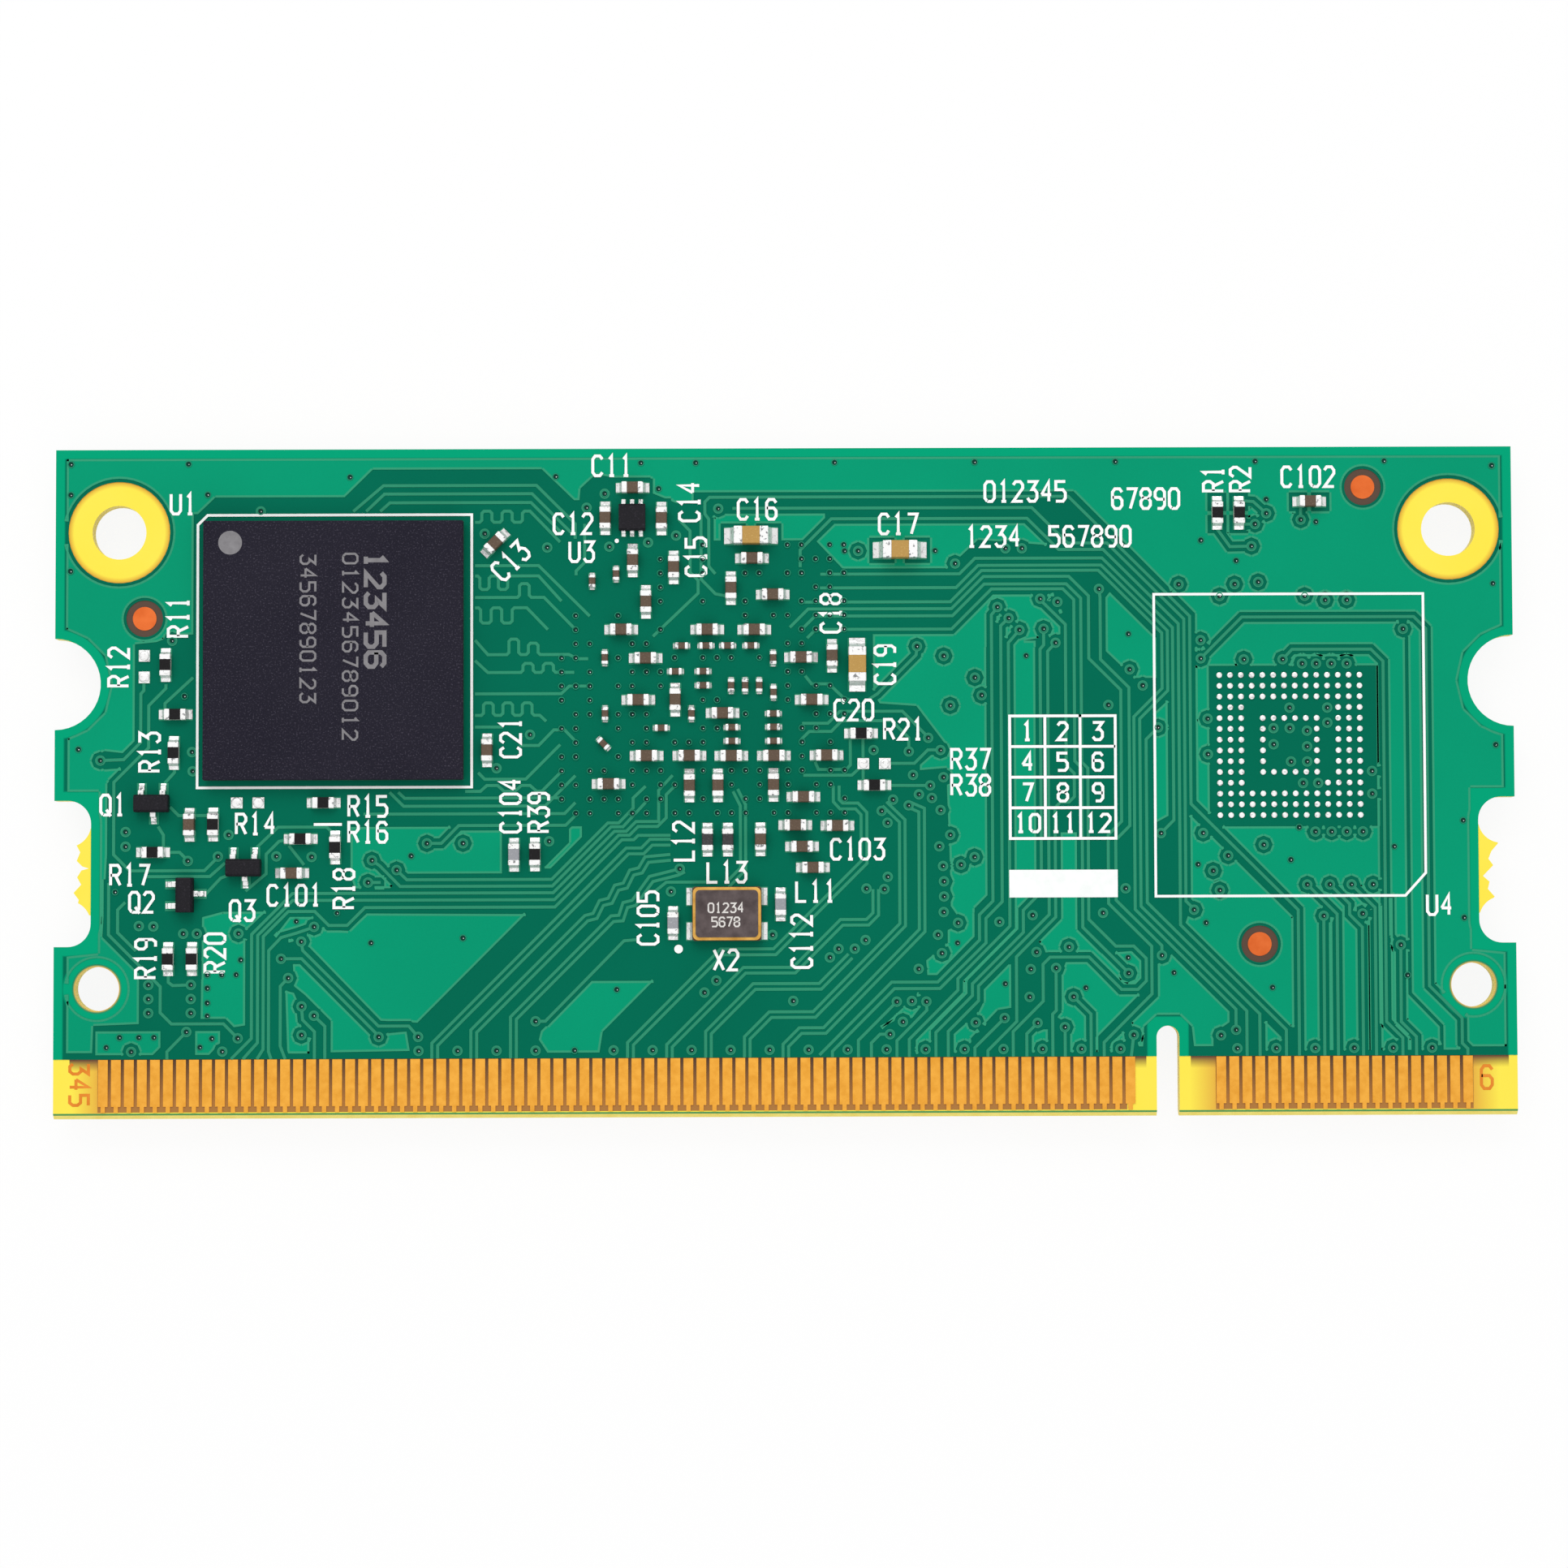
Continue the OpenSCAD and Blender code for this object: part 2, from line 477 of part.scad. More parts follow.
  // verticals right of the processor, down to the fingers
  [1, 0, [[9.88, 8.05], [9.6, 7.7], [9.6, -5.57], [8.97, -6.2], [8.97, -7.37], [7.03, -9.3], [4.9, -9.3],
    [1.55, -12.65]]],
  [1, 0, [[10.4, 7.55], [10.03, 7.2], [10.03, -5.6], [9.27, -6.37], [9.27, -7.5], [7.13, -9.6],
    [5.03, -9.6], [2.15, -12.48], [2.15, -12.75]]],
  [1, 0, [[10.9, 7], [10.38, 6.4], [10.38, -6.73], [7.96, -9.15], [7.96, -9.68], [5.7, -11.94],
    [5.7, -12.75]]],
  [1, 0, [[12.02, 7.05], [12.02, 6.3], [11.85, 6.1], [11.85, -5.15], [11, -6], [11, -7.02], [8.63, -9.39],
    [8.63, -9.93], [6.93, -11.63], [6.93, -12.75]]],
  [1, 0, [[12.57, 6.4], [12.2, 6], [12.2, -6.2], [8.91, -9.49], [8.91, -10.17], [7.5, -11.58],
    [7.5, -12.75]]],
  [1, 0, [[11.87, 8.4], [13.03, 7.25], [13.03, 0.7], [13.4, 0.33], [13.4, -0.75], [13.15, -1], [12.75, -1],
    [12.5, -1.25], [12.5, -6.32], [10.67, -8.15], [10.67, -11.13], [9.33, -12.47], [9.33, -12.75]]],
  [1, 0, [[5.13, -10.2], [3.35, -11.98], [3.35, -12.75]]],
  [1, 0, [[4.81, -11.7], [4.35, -11.7], [3.95, -12.1], [3.95, -12.75]]],
  [1, 0, [[6.5, -10.2], [6.52, -10.6], [5.13, -12], [5.13, -12.75]]],
  [1, 0, [[10.11, -10.97], [8.73, -12.33], [8.73, -12.75]]],
  [1, 0, [[11.63, -11.2], [11.13, -11.7], [11.13, -12.75]]],
  [1, 0, [[12.5, -8.67], [12.5, -10.63], [12.33, -10.8], [12.33, -12.75]]],
  [1, 0, [[12.9, -11.4], [12.9, -12.75]]],
  [1, 0, [[13.3, -10], [14.1, -10.8], [14.1, -12.75]]],
  [1, 0, [[16.07, -11.77], [15.95, -12.75]]],
  // bus from the processor over the top right corner
  [1, 0, [[-3.2, 9.65], [-3.5, 10], [-3.5, 12.2], [-3.68, 12.45], [-3.68, 13], [-3.46, 13.22],
    [13.2, 13.22], [18.8, 7.62], [18.8, -1.1], [23.72, -6.02], [23.72, -12.75]]],
  [1, 0, [[-2.4, 12.7], [11.5, 12.7], [13.16, 11.04], [14.98, 11.04], [18.53, 7.49], [18.53, -5.6],
    [18.9, -5.97]]],
  [1, 0, [[0.74, 9.95], [0.74, 10.75], [2.19, 12.2], [11.28, 12.2], [12.74, 10.74], [14.8, 10.74],
    [18.27, 7.27], [18.27, -6.7], [23.12, -11.55], [23.12, -12.75]]],
  [1, 0, [[1.67, 9.62], [8.13, 9.62], [8.85, 10.34], [14.75, 10.34], [18, 7.09], [18, -1.85],
    [17.4, -2.45]]],
  [1, 0, [[1.65, 8.98], [7.97, 8.98], [9, 10.01], [14.7, 10.01], [17.76, 6.95], [17.76, 4.16],
    [16.45, 2.85], [16.45, -5.83], [21.3, -10.68], [21.3, -12.75]]],
  [1, 0, [[0.8, 8.32], [7.7, 8.32], [9.15, 9.77], [14.57, 9.77], [17.5, 6.84], [17.5, 4.27], [16.18, 2.95],
    [16.18, -5.98], [20.8, -10.6], [20.8, -11.5]]],
  [1, 0, [[0.25, 7.15], [1.1, 8], [7.75, 8], [9.24, 9.49], [13.2, 9.49], [14.11, 8.58], [14.11, 5.67],
    [15.58, 4.2], [15.58, -1.9], [14.95, -2.53], [14.95, -5.7], [16.93, -7.68], [16.93, -9.88],
    [14.7, -12.11], [14.7, -12.75]]],
  [1, 0, [[0.85, 7.1], [1.42, 7.67], [7.8, 7.67], [9.27, 9.14], [13.08, 9.14], [13.75, 8.47],
    [13.75, 0.85], [14.03, 0.57], [14.03, -6.43], [15.27, -7.67], [16.1, -7.67], [16.67, -8.24],
    [16.67, -9.28], [16.28, -9.67], [15.53, -9.67], [14.03, -8.17], [12.23, -8.17], [11.9, -8.5],
    [11.9, -10.2], [10.5, -11.6], [10.5, -12.75]]],
  [1, 0, [[1.05, 6.65], [1.45, 7.05], [7.75, 7.05], [9.61, 8.91], [12.92, 8.91], [13.43, 8.4],
    [13.43, 0.9], [13.75, 0.58], [13.75, -6.8], [15.7, -8.75]]],
  [1, 0, [[14.6, 8.9], [14.65, 8.5], [14.65, 5.62], [15.96, 4.31], [15.96, -2.1], [15.3, -2.76],
    [15.3, -5.55], [17.4, -7.65], [17.4, -8.1]]],
  [1, 0, [[17.3, 2.45], [16.74, 1.9], [16.74, -5.66], [21.9, -10.82], [21.9, -12.75]]],
  // round the storage footprint
  [1, 0, [[19.3, 5.65], [21.22, 7.57], [29.2, 7.57], [29.76, 7.01], [29.76, -9.55], [31.25, -11.04],
    [31.25, -12.2], [31.5, -12.45], [31.5, -12.75]]],
  [1, 0, [[23.1, 5.6], [23.54, 6.06], [27.2, 6.06], [27.76, 5.5], [27.76, -11.2], [28.5, -11.94],
    [28.5, -12.75]]],
  [1, 0, [[28.45, -7.65], [28.44, -11.2], [29.13, -11.89], [29.13, -12.75]]],
  [1, 0, [[24.9, -6.3], [24.89, -12.75]]],
  [1, 0, [[24.15, -4.85], [25.52, -6.22], [25.52, -12.75]]],
  [1, 0, [[25.2, -4.85], [26.1, -5.75], [26.1, -6.25], [26.68, -6.83], [26.68, -12.75]]],
  [1, 0, [[26.2, -4.85], [27.28, -5.93], [27.28, -12.75]]],
  [1, 0, [[21.1, 13], [21.8, 12.95], [22.4, 12.4]]],
  [1, 0, [[21.15, 11.9], [21.87, 11.9]]],
  [1, 0, [[20.1, 11.7], [20.7, 10.85], [21.7, 10.87]]],
  [1, 0, [[24, 12.9], [24, 12.1]]],
  // between the processor and the parts beside it
  [1, 0, [[0.95, 4.9], [1.25, 4.52], [2.05, 4.52], [2.8, 3.8], [3, 3.8]]],
  [1, 0, [[0.8, 2.69], [2, 2.69], [2.55, 3.24], [5.45, 3.24], [6.62, 2.05]]],
  [1, 0, [[0.77, 1.7], [0.77, 1.95], [1.13, 2.31], [2.15, 2.31], [2.64, 2.8], [4.95, 2.8], [5.74, 2.01],
    [5.74, 1.4]]],
  [1, 0, [[6.14, 6.25], [6.1, 5.85], [4.3, 4.05], [3.9, 3.8]]],
  [1, 0, [[1.4, 0.9], [1.55, 0.55], [2.85, 0.55], [3.03, 0.75], [3.03, 2.1]]],
  [1, 0, [[0.85, 0.28], [3.1, 0.28], [3.5, 0.65]]],
  [1, 0, [[4.6, 0.82], [6, 0.82], [6.62, 1.44], [7.2, 1.44]]],
  [1, 0, [[4.6, -0.2], [6.72, -0.21]]],
  [1, 0, [[3.62, 2.1], [3.62, -0.1]]],
  [1, 0, [[-4.9, 12.2], [-4.37, 11.65], [-4.37, 9.72], [-4, 9.35], [-4, 8.75], [-6.1, 6.75]]],
  [1, 0, [[-3.86, 12.4], [-3.86, 9.4], [-3.2, 8.72], [-2.6, 8.6]]],
];

// Gaps that only part two ground areas
splits_top = [
  [1, 0, [[28.75, 6.9], [28.86, 6.6], [28.86, -7.3], [28.86, -9.9], [30.3, -11.4], [30.3, -12.6]]],
  [1, 0, [[27.76, -5.4], [28.1, -5.4], [28.1, -7.2], [28.45, -7.65]]],
];

// Vias with a land of their own on the memory side
vias_top = [
  // right of the processor
  [3.43, 10.7], [7.93, 10.1], [10.27, 10.8], [11.03, 10.8], [9.88, 8.07], [10.4, 7.55], [10.9, 7],
  [11.87, 8.45], [12.67, 8.3], [12.02, 7.05], [12.57, 6.4], [14.6, 8.9], [6.14, 6.25], [7.38, 5.8],
  [8.82, 4.79], [9.13, 3.97], [7.67, 3.5], [4.11, 1.44], [5.74, 1.37], [7.21, 1.43], [6.64, 2],
  [5.93, 0.28], [7.34, 0.17], [6.72, -0.21], [6.2, -0.62], [6.8, -0.79], [5, -0.86], [5.72, -1.13],
  [4.47, -1.38], [7.2, -1.35], [4.74, -1.93], [7.64, -2.5], [7.13, -3.03], [8.76, -3.53], [8.13, -3.88],
  [7.3, -3.94], [7.34, -4.65], [7.34, -5.35], [4.74, -4.43], [4.58, -5], [3.75, -4.97], [15, 3.5],
  [16.6, 4.4], [15.74, -5], [16, 5.15], [17.3, 2.45],
  // below it
  [7.32, -6.07], [7.98, -6.57], [7.05, -7.12], [7.23, -7.97], [6.15, -8.69], [5.13, -10.2], [5.83, -10.17],
  [6.5, -10.2], [5.41, -11.13], [4.81, -11.7], [8.77, -11.17], [10.11, -10.97], [9.89, -6.53],
  [3.7, -7.35], [3.2, -7.75], [2.45, -7.75], [2.05, -8.15], [0.35, -10.15], [-0.6, -7.1], [-3.2, -9.2],
  [-3.75, -9.75], [11.43, -6.23], [11.6, -7.93], [11.33, -8.72], [12.5, -8.67], [13.1, -7.7], [11.27, -10],
  [13.3, -10], [11.63, -11.2], [12.89, -11.4], [16.07, -11.77], [15.85, -8.92], [14.69, -6.13],
  [-11.55, -11.05],
  // top right corner
  [22.4, 12.4], [21.87, 11.9], [21.7, 10.87], [24, 12.1], [18.3, 9.1], [20.9, 9.1], [22, 9.2],
  [20.2, 8.55], [24.15, 8.55], [25.1, 8.35], [26.1, 8.35], [28.7, 7], [19.3, 6.5], [19.3, 5.65],
  [21.3, 5.6], [23.1, 5.6],
  // round and in the storage footprint
  [24, 5.4], [24.65, 5.4], [25.35, 5.4], [26.07, 5.4], [19.6, 2.85], [19.6, 1.2], [27.2, 0.4],
  [27.2, -0.65], [24.55, -2.4], [25.3, -2.4], [26, -2.4], [26.75, -2.4], [19.35, -2.45], [20.5, -3.5],
  [19.8, -4.2], [20.1, -5.1], [22.15, -3], [24.15, -4.85], [25.2, -4.85], [26.2, -4.85], [27.2, -4.85],
  [18.9, -6], [24.9, -6.3], [26.7, -6.2], [23.4, 3.35], [25.15, 3.35], [25.15, 2.65], [22.65, 2.4],
  [23.4, 2.4], [24.2, 2.28], [22.65, 1.65], [24.2, 1.55], [23.45, 0.85], [24.2, 0.85], [24, -0.15],
  [24.7, -0.15],
  // lower right corner
  [28.45, -7.65], [17.4, -8.1], [17.4, -2.45], [20.1, -11.8], [20.8, -11.55],
  // left corners
  [-31.68, 1.06], [-30.5, -2.25], [-30.5, -2.93], [-27.62, -3.6], [-26.23, -3.4], [-23.53, -3.4],
  [-21.9, -3.43], [-19.11, -3.6], [-17.97, -4.05], [-19.29, -4.62], [-16.57, -2.82], [-14.9, -2.82],
  [-29.87, -6.6], [-29.2, -6.62], [-27.82, -6.96], [-27.19, -6.96], [-25.27, -6.96], [-21.78, -6.66],
  [-22.37, -7.34], [-23.3, -8.13], [-22.97, -9.02], [-22.35, -10.33], [-21.78, -10.76], [-22.35, -11.65],
  [-27.66, -11.49], [-25.29, -11.79], [-18.79, -11.75], [-16.97, -11.75], [-30.2, -12.4], [-26, -12.4],
  [-13.35, 0.65], [-11.8, 2.2], [-25.74, -2.4], [-27.44, 1.44], [-27.41, 0.55], [-28.38, 6.61],
  [-24.29, 12.62],
  // round the small regulator and the crystal
  [-11, 10.9], [-13.9, 11.55], [-9.17, 12.75], [-8.33, 13.4], [-5.02, 11.44], [-6.32, 11.12],
  [-8.12, 10.93], [-3.06, 12.69], [-10.92, -2.74], [-4.88, -4.03], [-5.29, -5.08],
];
// Columns of three beside the lower left hole, and rows above the fingers
via_rows_top = concat(
  [for (x = [-29.42, -27.46]) for (k = [0:2]) [x, -9.32 - 0.65 * k]],
  [for (k = [0:8]) [1.05 + 1.8 * k, -12.4]],
  [for (k = [0:4]) [-0.75 - 1.8 * k, -12.4]],
  [for (k = [0:3]) [-11.55 - 1.8 * k, -12.4]],
  [for (k = [0:5]) [20.85 + 1.8 * k, -12.4]]
);
// Vias that sit in a ground area without a land of their own
ground_vias_top = [
  [-33.1, 14.83], [-27.65, 14.83], [-26.75, 13.4], [-20.15, 14.2], [-10.6, 14.2], [-6.65, 14.83],
  [-4.1, 14.83], [2.35, 14.83], [8.86, 14.83], [15.4, 14.83], [21.9, 14.83], [27.9, 14.83], [32.9, 14.6],
  [-33.1, 13.4], [-33.1, 9.85], [32.9, 9.1], [-32.7, 1.58], [-27.8, 4.03], [-17.3, -3.4], [-22.6, -6.41],
  [-20.72, -6.03], [-19.15, -7.41], [-25.16, -8.18], [-26.7, -8.86], [-26.03, -8.86], [-25.37, -8.86],
  [-26.7, -9.48], [-26.7, -10.16], [-26.7, -10.76], [-14.9, -7.2], [-7.8, -9.6], [-9.75, -12.4],
  [7.95, -7.5], [10.15, -9.39], [13.87, -9.59], [15.83, -8.2], [20.98, 10.2], [19.35, 11.15],
  [22.4, 13.05], [24.7, 12], [15.95, 6.8], [19.45, -6.6], [22.5, -9.6], [17.95, -8.9], [28.75, -9.05],
  [31.4, -6.4], [31.4, -1.9], [32.95, 1.6], [28.2, -3.1], [23.4, -3.7], [23.8, -2.2], [19.1, -3.9],
  [-30.97, -5.03], [-5.83, 13.62], [2.8, 10.7], [7, 10.7], [11.2, 5.8], [-31.35, -12.2], [-30.74, -11.74],
  [-29.85, -11.74], [-29.15, -11.74], [-27.03, -12.2], [-26.48, -11.8],
];

// Through-holes of the processor's grid that come up between the parts above it
grid_pitch = 0.655;
function grid_via(i, j) = [-10.34 + grid_pitch * i, -1.45 + grid_pitch * j];
function under_part(p, parts, a, b) = len([
  for (q = parts) let (
    d = [p.x - q.x, p.y - q.y],
    u = abs(d * [cos(q[2]), sin(q[2])]),
    v = abs(d * [-sin(q[2]), cos(q[2])])
  ) if (u < a && v < b) 1
]) > 0;
function grid_open(i, j) = let (p = grid_via(i, j))
  (i * 5 + j * 3) % 7 > 1 && (i > 5 || j < 15) && (i > 12 || j < 13 || i % 3 == 1)
  && !under_part(p, concat(medium_caps, pale_caps, beads, resistors, bare_parts), 1.05, 0.56)
  && !under_part(p, large_caps, 1.6, 0.75)
  && !under_part(p, small_caps, 0.68, 0.42)
  && !under_part(p, [concat(tiny_at, 0)], 1, 1);
grid_vias = [for (i = [0:20]) for (j = [0:19]) if (grid_open(i, j)) grid_via(i, j)];

// Ground and power areas on the memory side, as outlines on the plan
pours_top = [
  // top strip
  [[-33.3, 15.08], [33.3, 15.08], [33.3, 13.45], [-4.2, 13.45], [-4.2, 12.95], [-5, 12.95], [-6.2, 13.45],
    [-6.2, 14.15], [-7.9, 14.15], [-8.75, 14.3], [-9.45, 13.65], [-9.5, 13.1], [-9.75, 13.1],
    [-11.25, 14.55], [-19.1, 14.55], [-20.4, 13.27], [-26.4, 13.27], [-27.2, 12.5], [-27.4, 12.5],
    [-27.4, 6.9], [-28.3, 6.85], [-29.1, 6.55], [-30.1, 6.45], [-30.1, 1.95], [-30.65, 1.4], [-31.5, 1.5],
    [-32.1, 1.06], [-31.5, 0.65], [-30.7, 0.7], [-31.35, 0], [-31.35, -3.3], [-31.55, -7.1],
    [-29.85, -8.8], [-29.85, -11.12], [-31.95, -11.2], [-32, -12.45], [-33.2, -12.45], [-33.2, -8],
    [-31.75, -7.85], [-31.75, -0.38], [-33.2, -0.38], [-33.2, 2.1], [-32.3, 2.5], [-31.5, 3.3],
    [-31.2, 4.6], [-31.5, 5.9], [-32.3, 6.7], [-33.3, 7.15]],
  // lower left corner
  [[-31.85, -11.45], [-28.85, -11.45], [-28.85, -12.2], [-29.2, -12.55], [-31.85, -12.55]],
  [[-27.25, -11.45], [-26.1, -11.45], [-26.1, -12], [-26.6, -12.55], [-27.25, -12.55]],
  [[-26.95, -6.2], [-26, -5.95], [-24, -5.95], [-24.95, -6.85], [-24.95, -11.2], [-25.6, -11.3],
    [-26, -10.9], [-27, -10.9]],
  [[-23.6, -7.1], [-22.9, -6.2], [-21.85, -6.2], [-21.2, -6.8], [-20.2, -6.85], [-19.35, -6.05],
    [-12, -6.1], [-17, -11.1], [-18.7, -11], [-22, -7.6]],
  [[-22.75, -8.38], [-22.4, -8.38], [-19.1, -11.65], [-17.5, -11.5], [-17.35, -12.4], [-21, -12.45],
    [-21, -11], [-22.2, -9.8], [-22.7, -9.4]],
  [[-23.1, -9.6], [-22.7, -9.7], [-21.95, -11.4], [-21.95, -12.5], [-23, -12.5]],
  // beside and below the memory
  [[-20.1, -2.05], [-15.3, -2.05], [-13.1, -2.2], [-13.1, -4.22], [-17.5, -4.22], [-18.4, -5],
    [-19.9, -4.9], [-20.1, -4.3]],
  [[-10, -2.05], [-9.4, -2.05], [-9.4, -2.55], [-10.85, -4], [-11.2, -4], [-10, -2.8]],
  [[-9, -9.2], [-6.1, -9.2], [-8.45, -11.55], [-8.6, -12.5], [-11, -12.5], [-11.4, -11.9], [-11.3, -11.5]],
  // round the large capacitors
  [[-3.3, 12.45], [1.9, 12.45], [1.9, 12.1], [0.95, 11.2], [-3.3, 11.2]],
  [[1.5, 11.15], [2.35, 11.98], [11.15, 11.98], [12.2, 10.95], [9, 11.2], [7.6, 9.88], [2.7, 9.88]],
  [[4.1, 6.85], [7.62, 6.85], [9.42, 8.65], [12.85, 8.65], [12.85, 6.8], [9.35, 6.2], [9.35, -5.3],
    [8.75, -5.9], [8.75, -7.2], [7, -8.98], [6.55, -8.98], [6.5, -8.3], [7.5, -7.5], [7.5, -6.9],
    [8.2, -6.6], [7.65, -5.8], [7.6, -3.2], [7.5, -0.4], [7.5, 0.6], [6.25, 0.5], [6.25, 0.75],
    [7.4, 1.75], [6.1, 3.48], [4.4, 3.6], [4.1, 4.1]],
  // strips between the verticals
  [[10.55, 6.5], [11.65, 6.5], [11.65, -4.95], [10.82, -5.9], [10.82, -6.82], [8.42, -9.22], [8.42, -9.86],
    [6.7, -11.6], [6.7, -12.6], [6, -12.6], [6, -11.95], [8.12, -9.8], [8.12, -9.2], [10.55, -6.75]],
  [[12.75, -2.4], [13.5, -2.4], [13.5, -6.9], [14.6, -8], [16, -7.9], [16.45, -8.35], [16.45, -9.15],
    [16.15, -9.45], [15.6, -9.45], [14.1, -7.95], [12, -7.95], [11.7, -7.45], [12.75, -6.4]],
  [[12.75, -8.9], [12.95, -8.4], [13.95, -8.4], [15.4, -9.9], [16.35, -9.9], [14.4, -11.85],
    [14.4, -12.55], [13.1, -12.55], [13.1, -11.3], [12.55, -10.95], [12.75, -10.6]],
  [[15, -12.15], [15.6, -11.6], [15.75, -12.55], [15, -12.55]],
  [[11.35, -11.75], [11.6, -11.5], [12.1, -11.5], [12.1, -12.55], [11.35, -12.55]],
  [[10.42, -8.5], [10.42, -10.5], [9.8, -10.6], [8.55, -11.9], [8.55, -12.55], [7.75, -12.55],
    [7.75, -11.7], [8.9, -10.7], [9.15, -10.2], [9.15, -9.65], [10.3, -8.5]],
  [[5.6, -9.85], [6.15, -9.85], [6.2, -10.5], [5.85, -10.95], [5, -11.1], [4.4, -11.4], [5.5, -10.4]],
  [[15.1, 8.75], [17.25, 6.6], [17.25, 4.75], [16.2, 4.75], [14.9, 6], [14.9, 8.5]],
  [[17.1, 3.1], [17.75, 3.7], [17.75, -1.65], [17.1, -2]],
  // right of the bus
  [[13.45, 13.45], [19.05, 7.75], [19.05, 5.2], [19.05, -0.95], [23.95, -5.9], [23.95, -12.5], [31, -12.5],
    [31.45, -12.35], [33.3, -12.35], [33.3, -8], [31.75, -7.85], [31.75, -0.38], [33.3, -0.38],
    [33.3, 2.1], [32.3, 2.5], [31.5, 3.3], [31.2, 4.6], [31.5, 5.9], [32.3, 6.7], [33.3, 7.15],
    [33.3, 13.5]],
  [[18.75, -1.6], [23.5, -6.35], [23.5, -11.45], [23.3, -11.4], [18.5, -6.6], [18.75, -5.9]],
  [[17.2, -8.5], [17.85, -8.05], [20.5, -10.7], [20.5, -11.2], [19.75, -11.7], [19.75, -12.3],
    [18.85, -12.3], [18.75, -11.4], [18.2, -10.85], [17.15, -10.85], [16.55, -11.4], [16.5, -12.3],
    [16.3, -12.3], [15.95, -11.2], [17.2, -10]],
  [[22.15, -11.15], [22.9, -11.9], [22.9, -12.5], [22.15, -12.5]],
];
// Clear field inside the storage footprint
storage_clear = [[19.67, -2.15], [27.45, 5.3]];

storage_rows = [for (r = [0:13]) [for (c = [0:13]) storage_fitted(r, c)]];
function storage_fitted(r, c) =
  r < 3 || r > 10 || c < 3 || c > 10
  || ((r == 4 || r == 9) && c > 3 && c < 10)
  || (r > 3 && r < 10 && (c == 4 || c == 9))
  || (r == 10 && c == 10);

// Board outline with holes, as a flat shape
module round_holes(main_d, pin_d) {
  for (s = [-1, 1]) {
    translate([s * hole_at.x, hole_at.y]) circle(d = main_d);
    translate([s * pin_hole_at.x, pin_hole_at.y]) circle(d = pin_d);
  }
}

module key_slot() {
  translate([key_x, key_depth - half_h - key_w / 2]) circle(d = key_w);
  translate([key_x - key_w / 2, -half_h - 1]) square([key_w, key_depth - key_w / 2 + 1]);
}

module tab_slot() {
  in = half_w - tab_slot_depth + tab_router_r;
  up = tab_slot_h / 2 - tab_router_r;
  for (s = [-1, 1]) translate([in, tab_y + s * up]) circle(tab_router_r);
  translate([half_w - tab_slot_depth, tab_y - up]) square([tab_slot_depth + 1, 2 * up]);
  translate([in, tab_y - tab_slot_h / 2]) square([tab_slot_depth, tab_slot_h]);
}

// Ragged remains of a snapped tab: [reach, along] from the slot floor
tab_left = [
  [-0.2, 2.2], [0.15, 2.05], [0.35, 1.7], [0.74, 1.45], [0.5, 1], [0.66, 0.6], [0.4, 0.34], [0.1, 0.25],
  [0.44, 0.16], [0.64, -0.16], [0.45, -0.5], [0.8, -0.88], [0.56, -1.2], [0.62, -1.5], [0.25, -1.85],
  [-0.2, -2],
];
tab_right = [
  [-0.2, 2.2], [0.2, 2], [0.4, 1.75], [0.92, 1.22], [0.6, 0.85], [0.46, 0.5], [0.68, 0.2], [0.2, -0.3],
  [0.5, -0.56], [0.42, -0.9], [0.73, -1.25], [0.5, -1.6], [0.25, -1.9], [-0.2, -2.1],
];
module tab_stub(points) {
  in = half_w - tab_slot_depth + tab_router_r;
  up = tab_slot_h / 2 - tab_router_r;
  difference() {
    polygon([for (p = points) [half_w - tab_slot_depth + p.x, tab_y + p.y]]);
    for (s = [-1, 1]) translate([in, tab_y + s * up]) circle(tab_router_r);
  }
}

module outline() {
  difference() {
    square([board_w, board_h], center = true);
    for (s = [-1, 1]) translate([s * half_w, latch_y]) circle(latch_r);
    tab_slot();
    mirror([1, 0]) tab_slot();
    key_slot();
  }
}

// Slot without the remains of its tab
module tab_cut(points) {
  difference() {
    tab_slot();
    tab_stub(points);
  }
}

module laminate() {
  color("khaki") translate([0, 0, under_z + copper_t + mask_t]) difference() {
    linear_extrude(core_t) difference() {
      square([board_w, board_h], center = true);
      for (s = [-1, 1]) translate([s * half_w, latch_y]) circle(latch_r);
      tab_cut(tab_right);
      mirror([1, 0]) tab_cut(tab_left);
      key_slot();
      round_holes(hole_d, pin_hole_d);
    }
    // bevels of the connector edge
    translate([0, -half_h, 0]) rotate([90, 0, 90]) linear_extrude(board_w + 2, center = true)
      polygon([[-1, -1], [edge_bevel + 1, -1], [-1, edge_bevel + 1]]);
    translate([0, -half_h, core_t]) rotate([90, 0, 90]) linear_extrude(board_w + 2, center = true)
      polygon([[-1, 1], [edge_bevel + 1, 1], [-1, -edge_bevel - 1]]);
  }
}

module mask_sheet(openings) {
  linear_extrude(mask_t) difference() {
    outline();
    round_holes(hole_ring_d, pin_hole_d + 2 * pin_hole_rim);
    translate([-half_w - 1, -half_h - 1]) square([board_w + 2, strip_h + 1]);
    for (m = openings) translate(at(m)) circle(mark_clear_r);
  }
}

module solder_mask_top() {
  color("seagreen") on_top() translate([0, 0, -copper_t - mask_t]) mask_sheet(marks);
}

module solder_mask_bottom() {
  color("seagreen") on_bottom() translate([0, 0, -copper_t - mask_t]) mask_sheet([]);
}

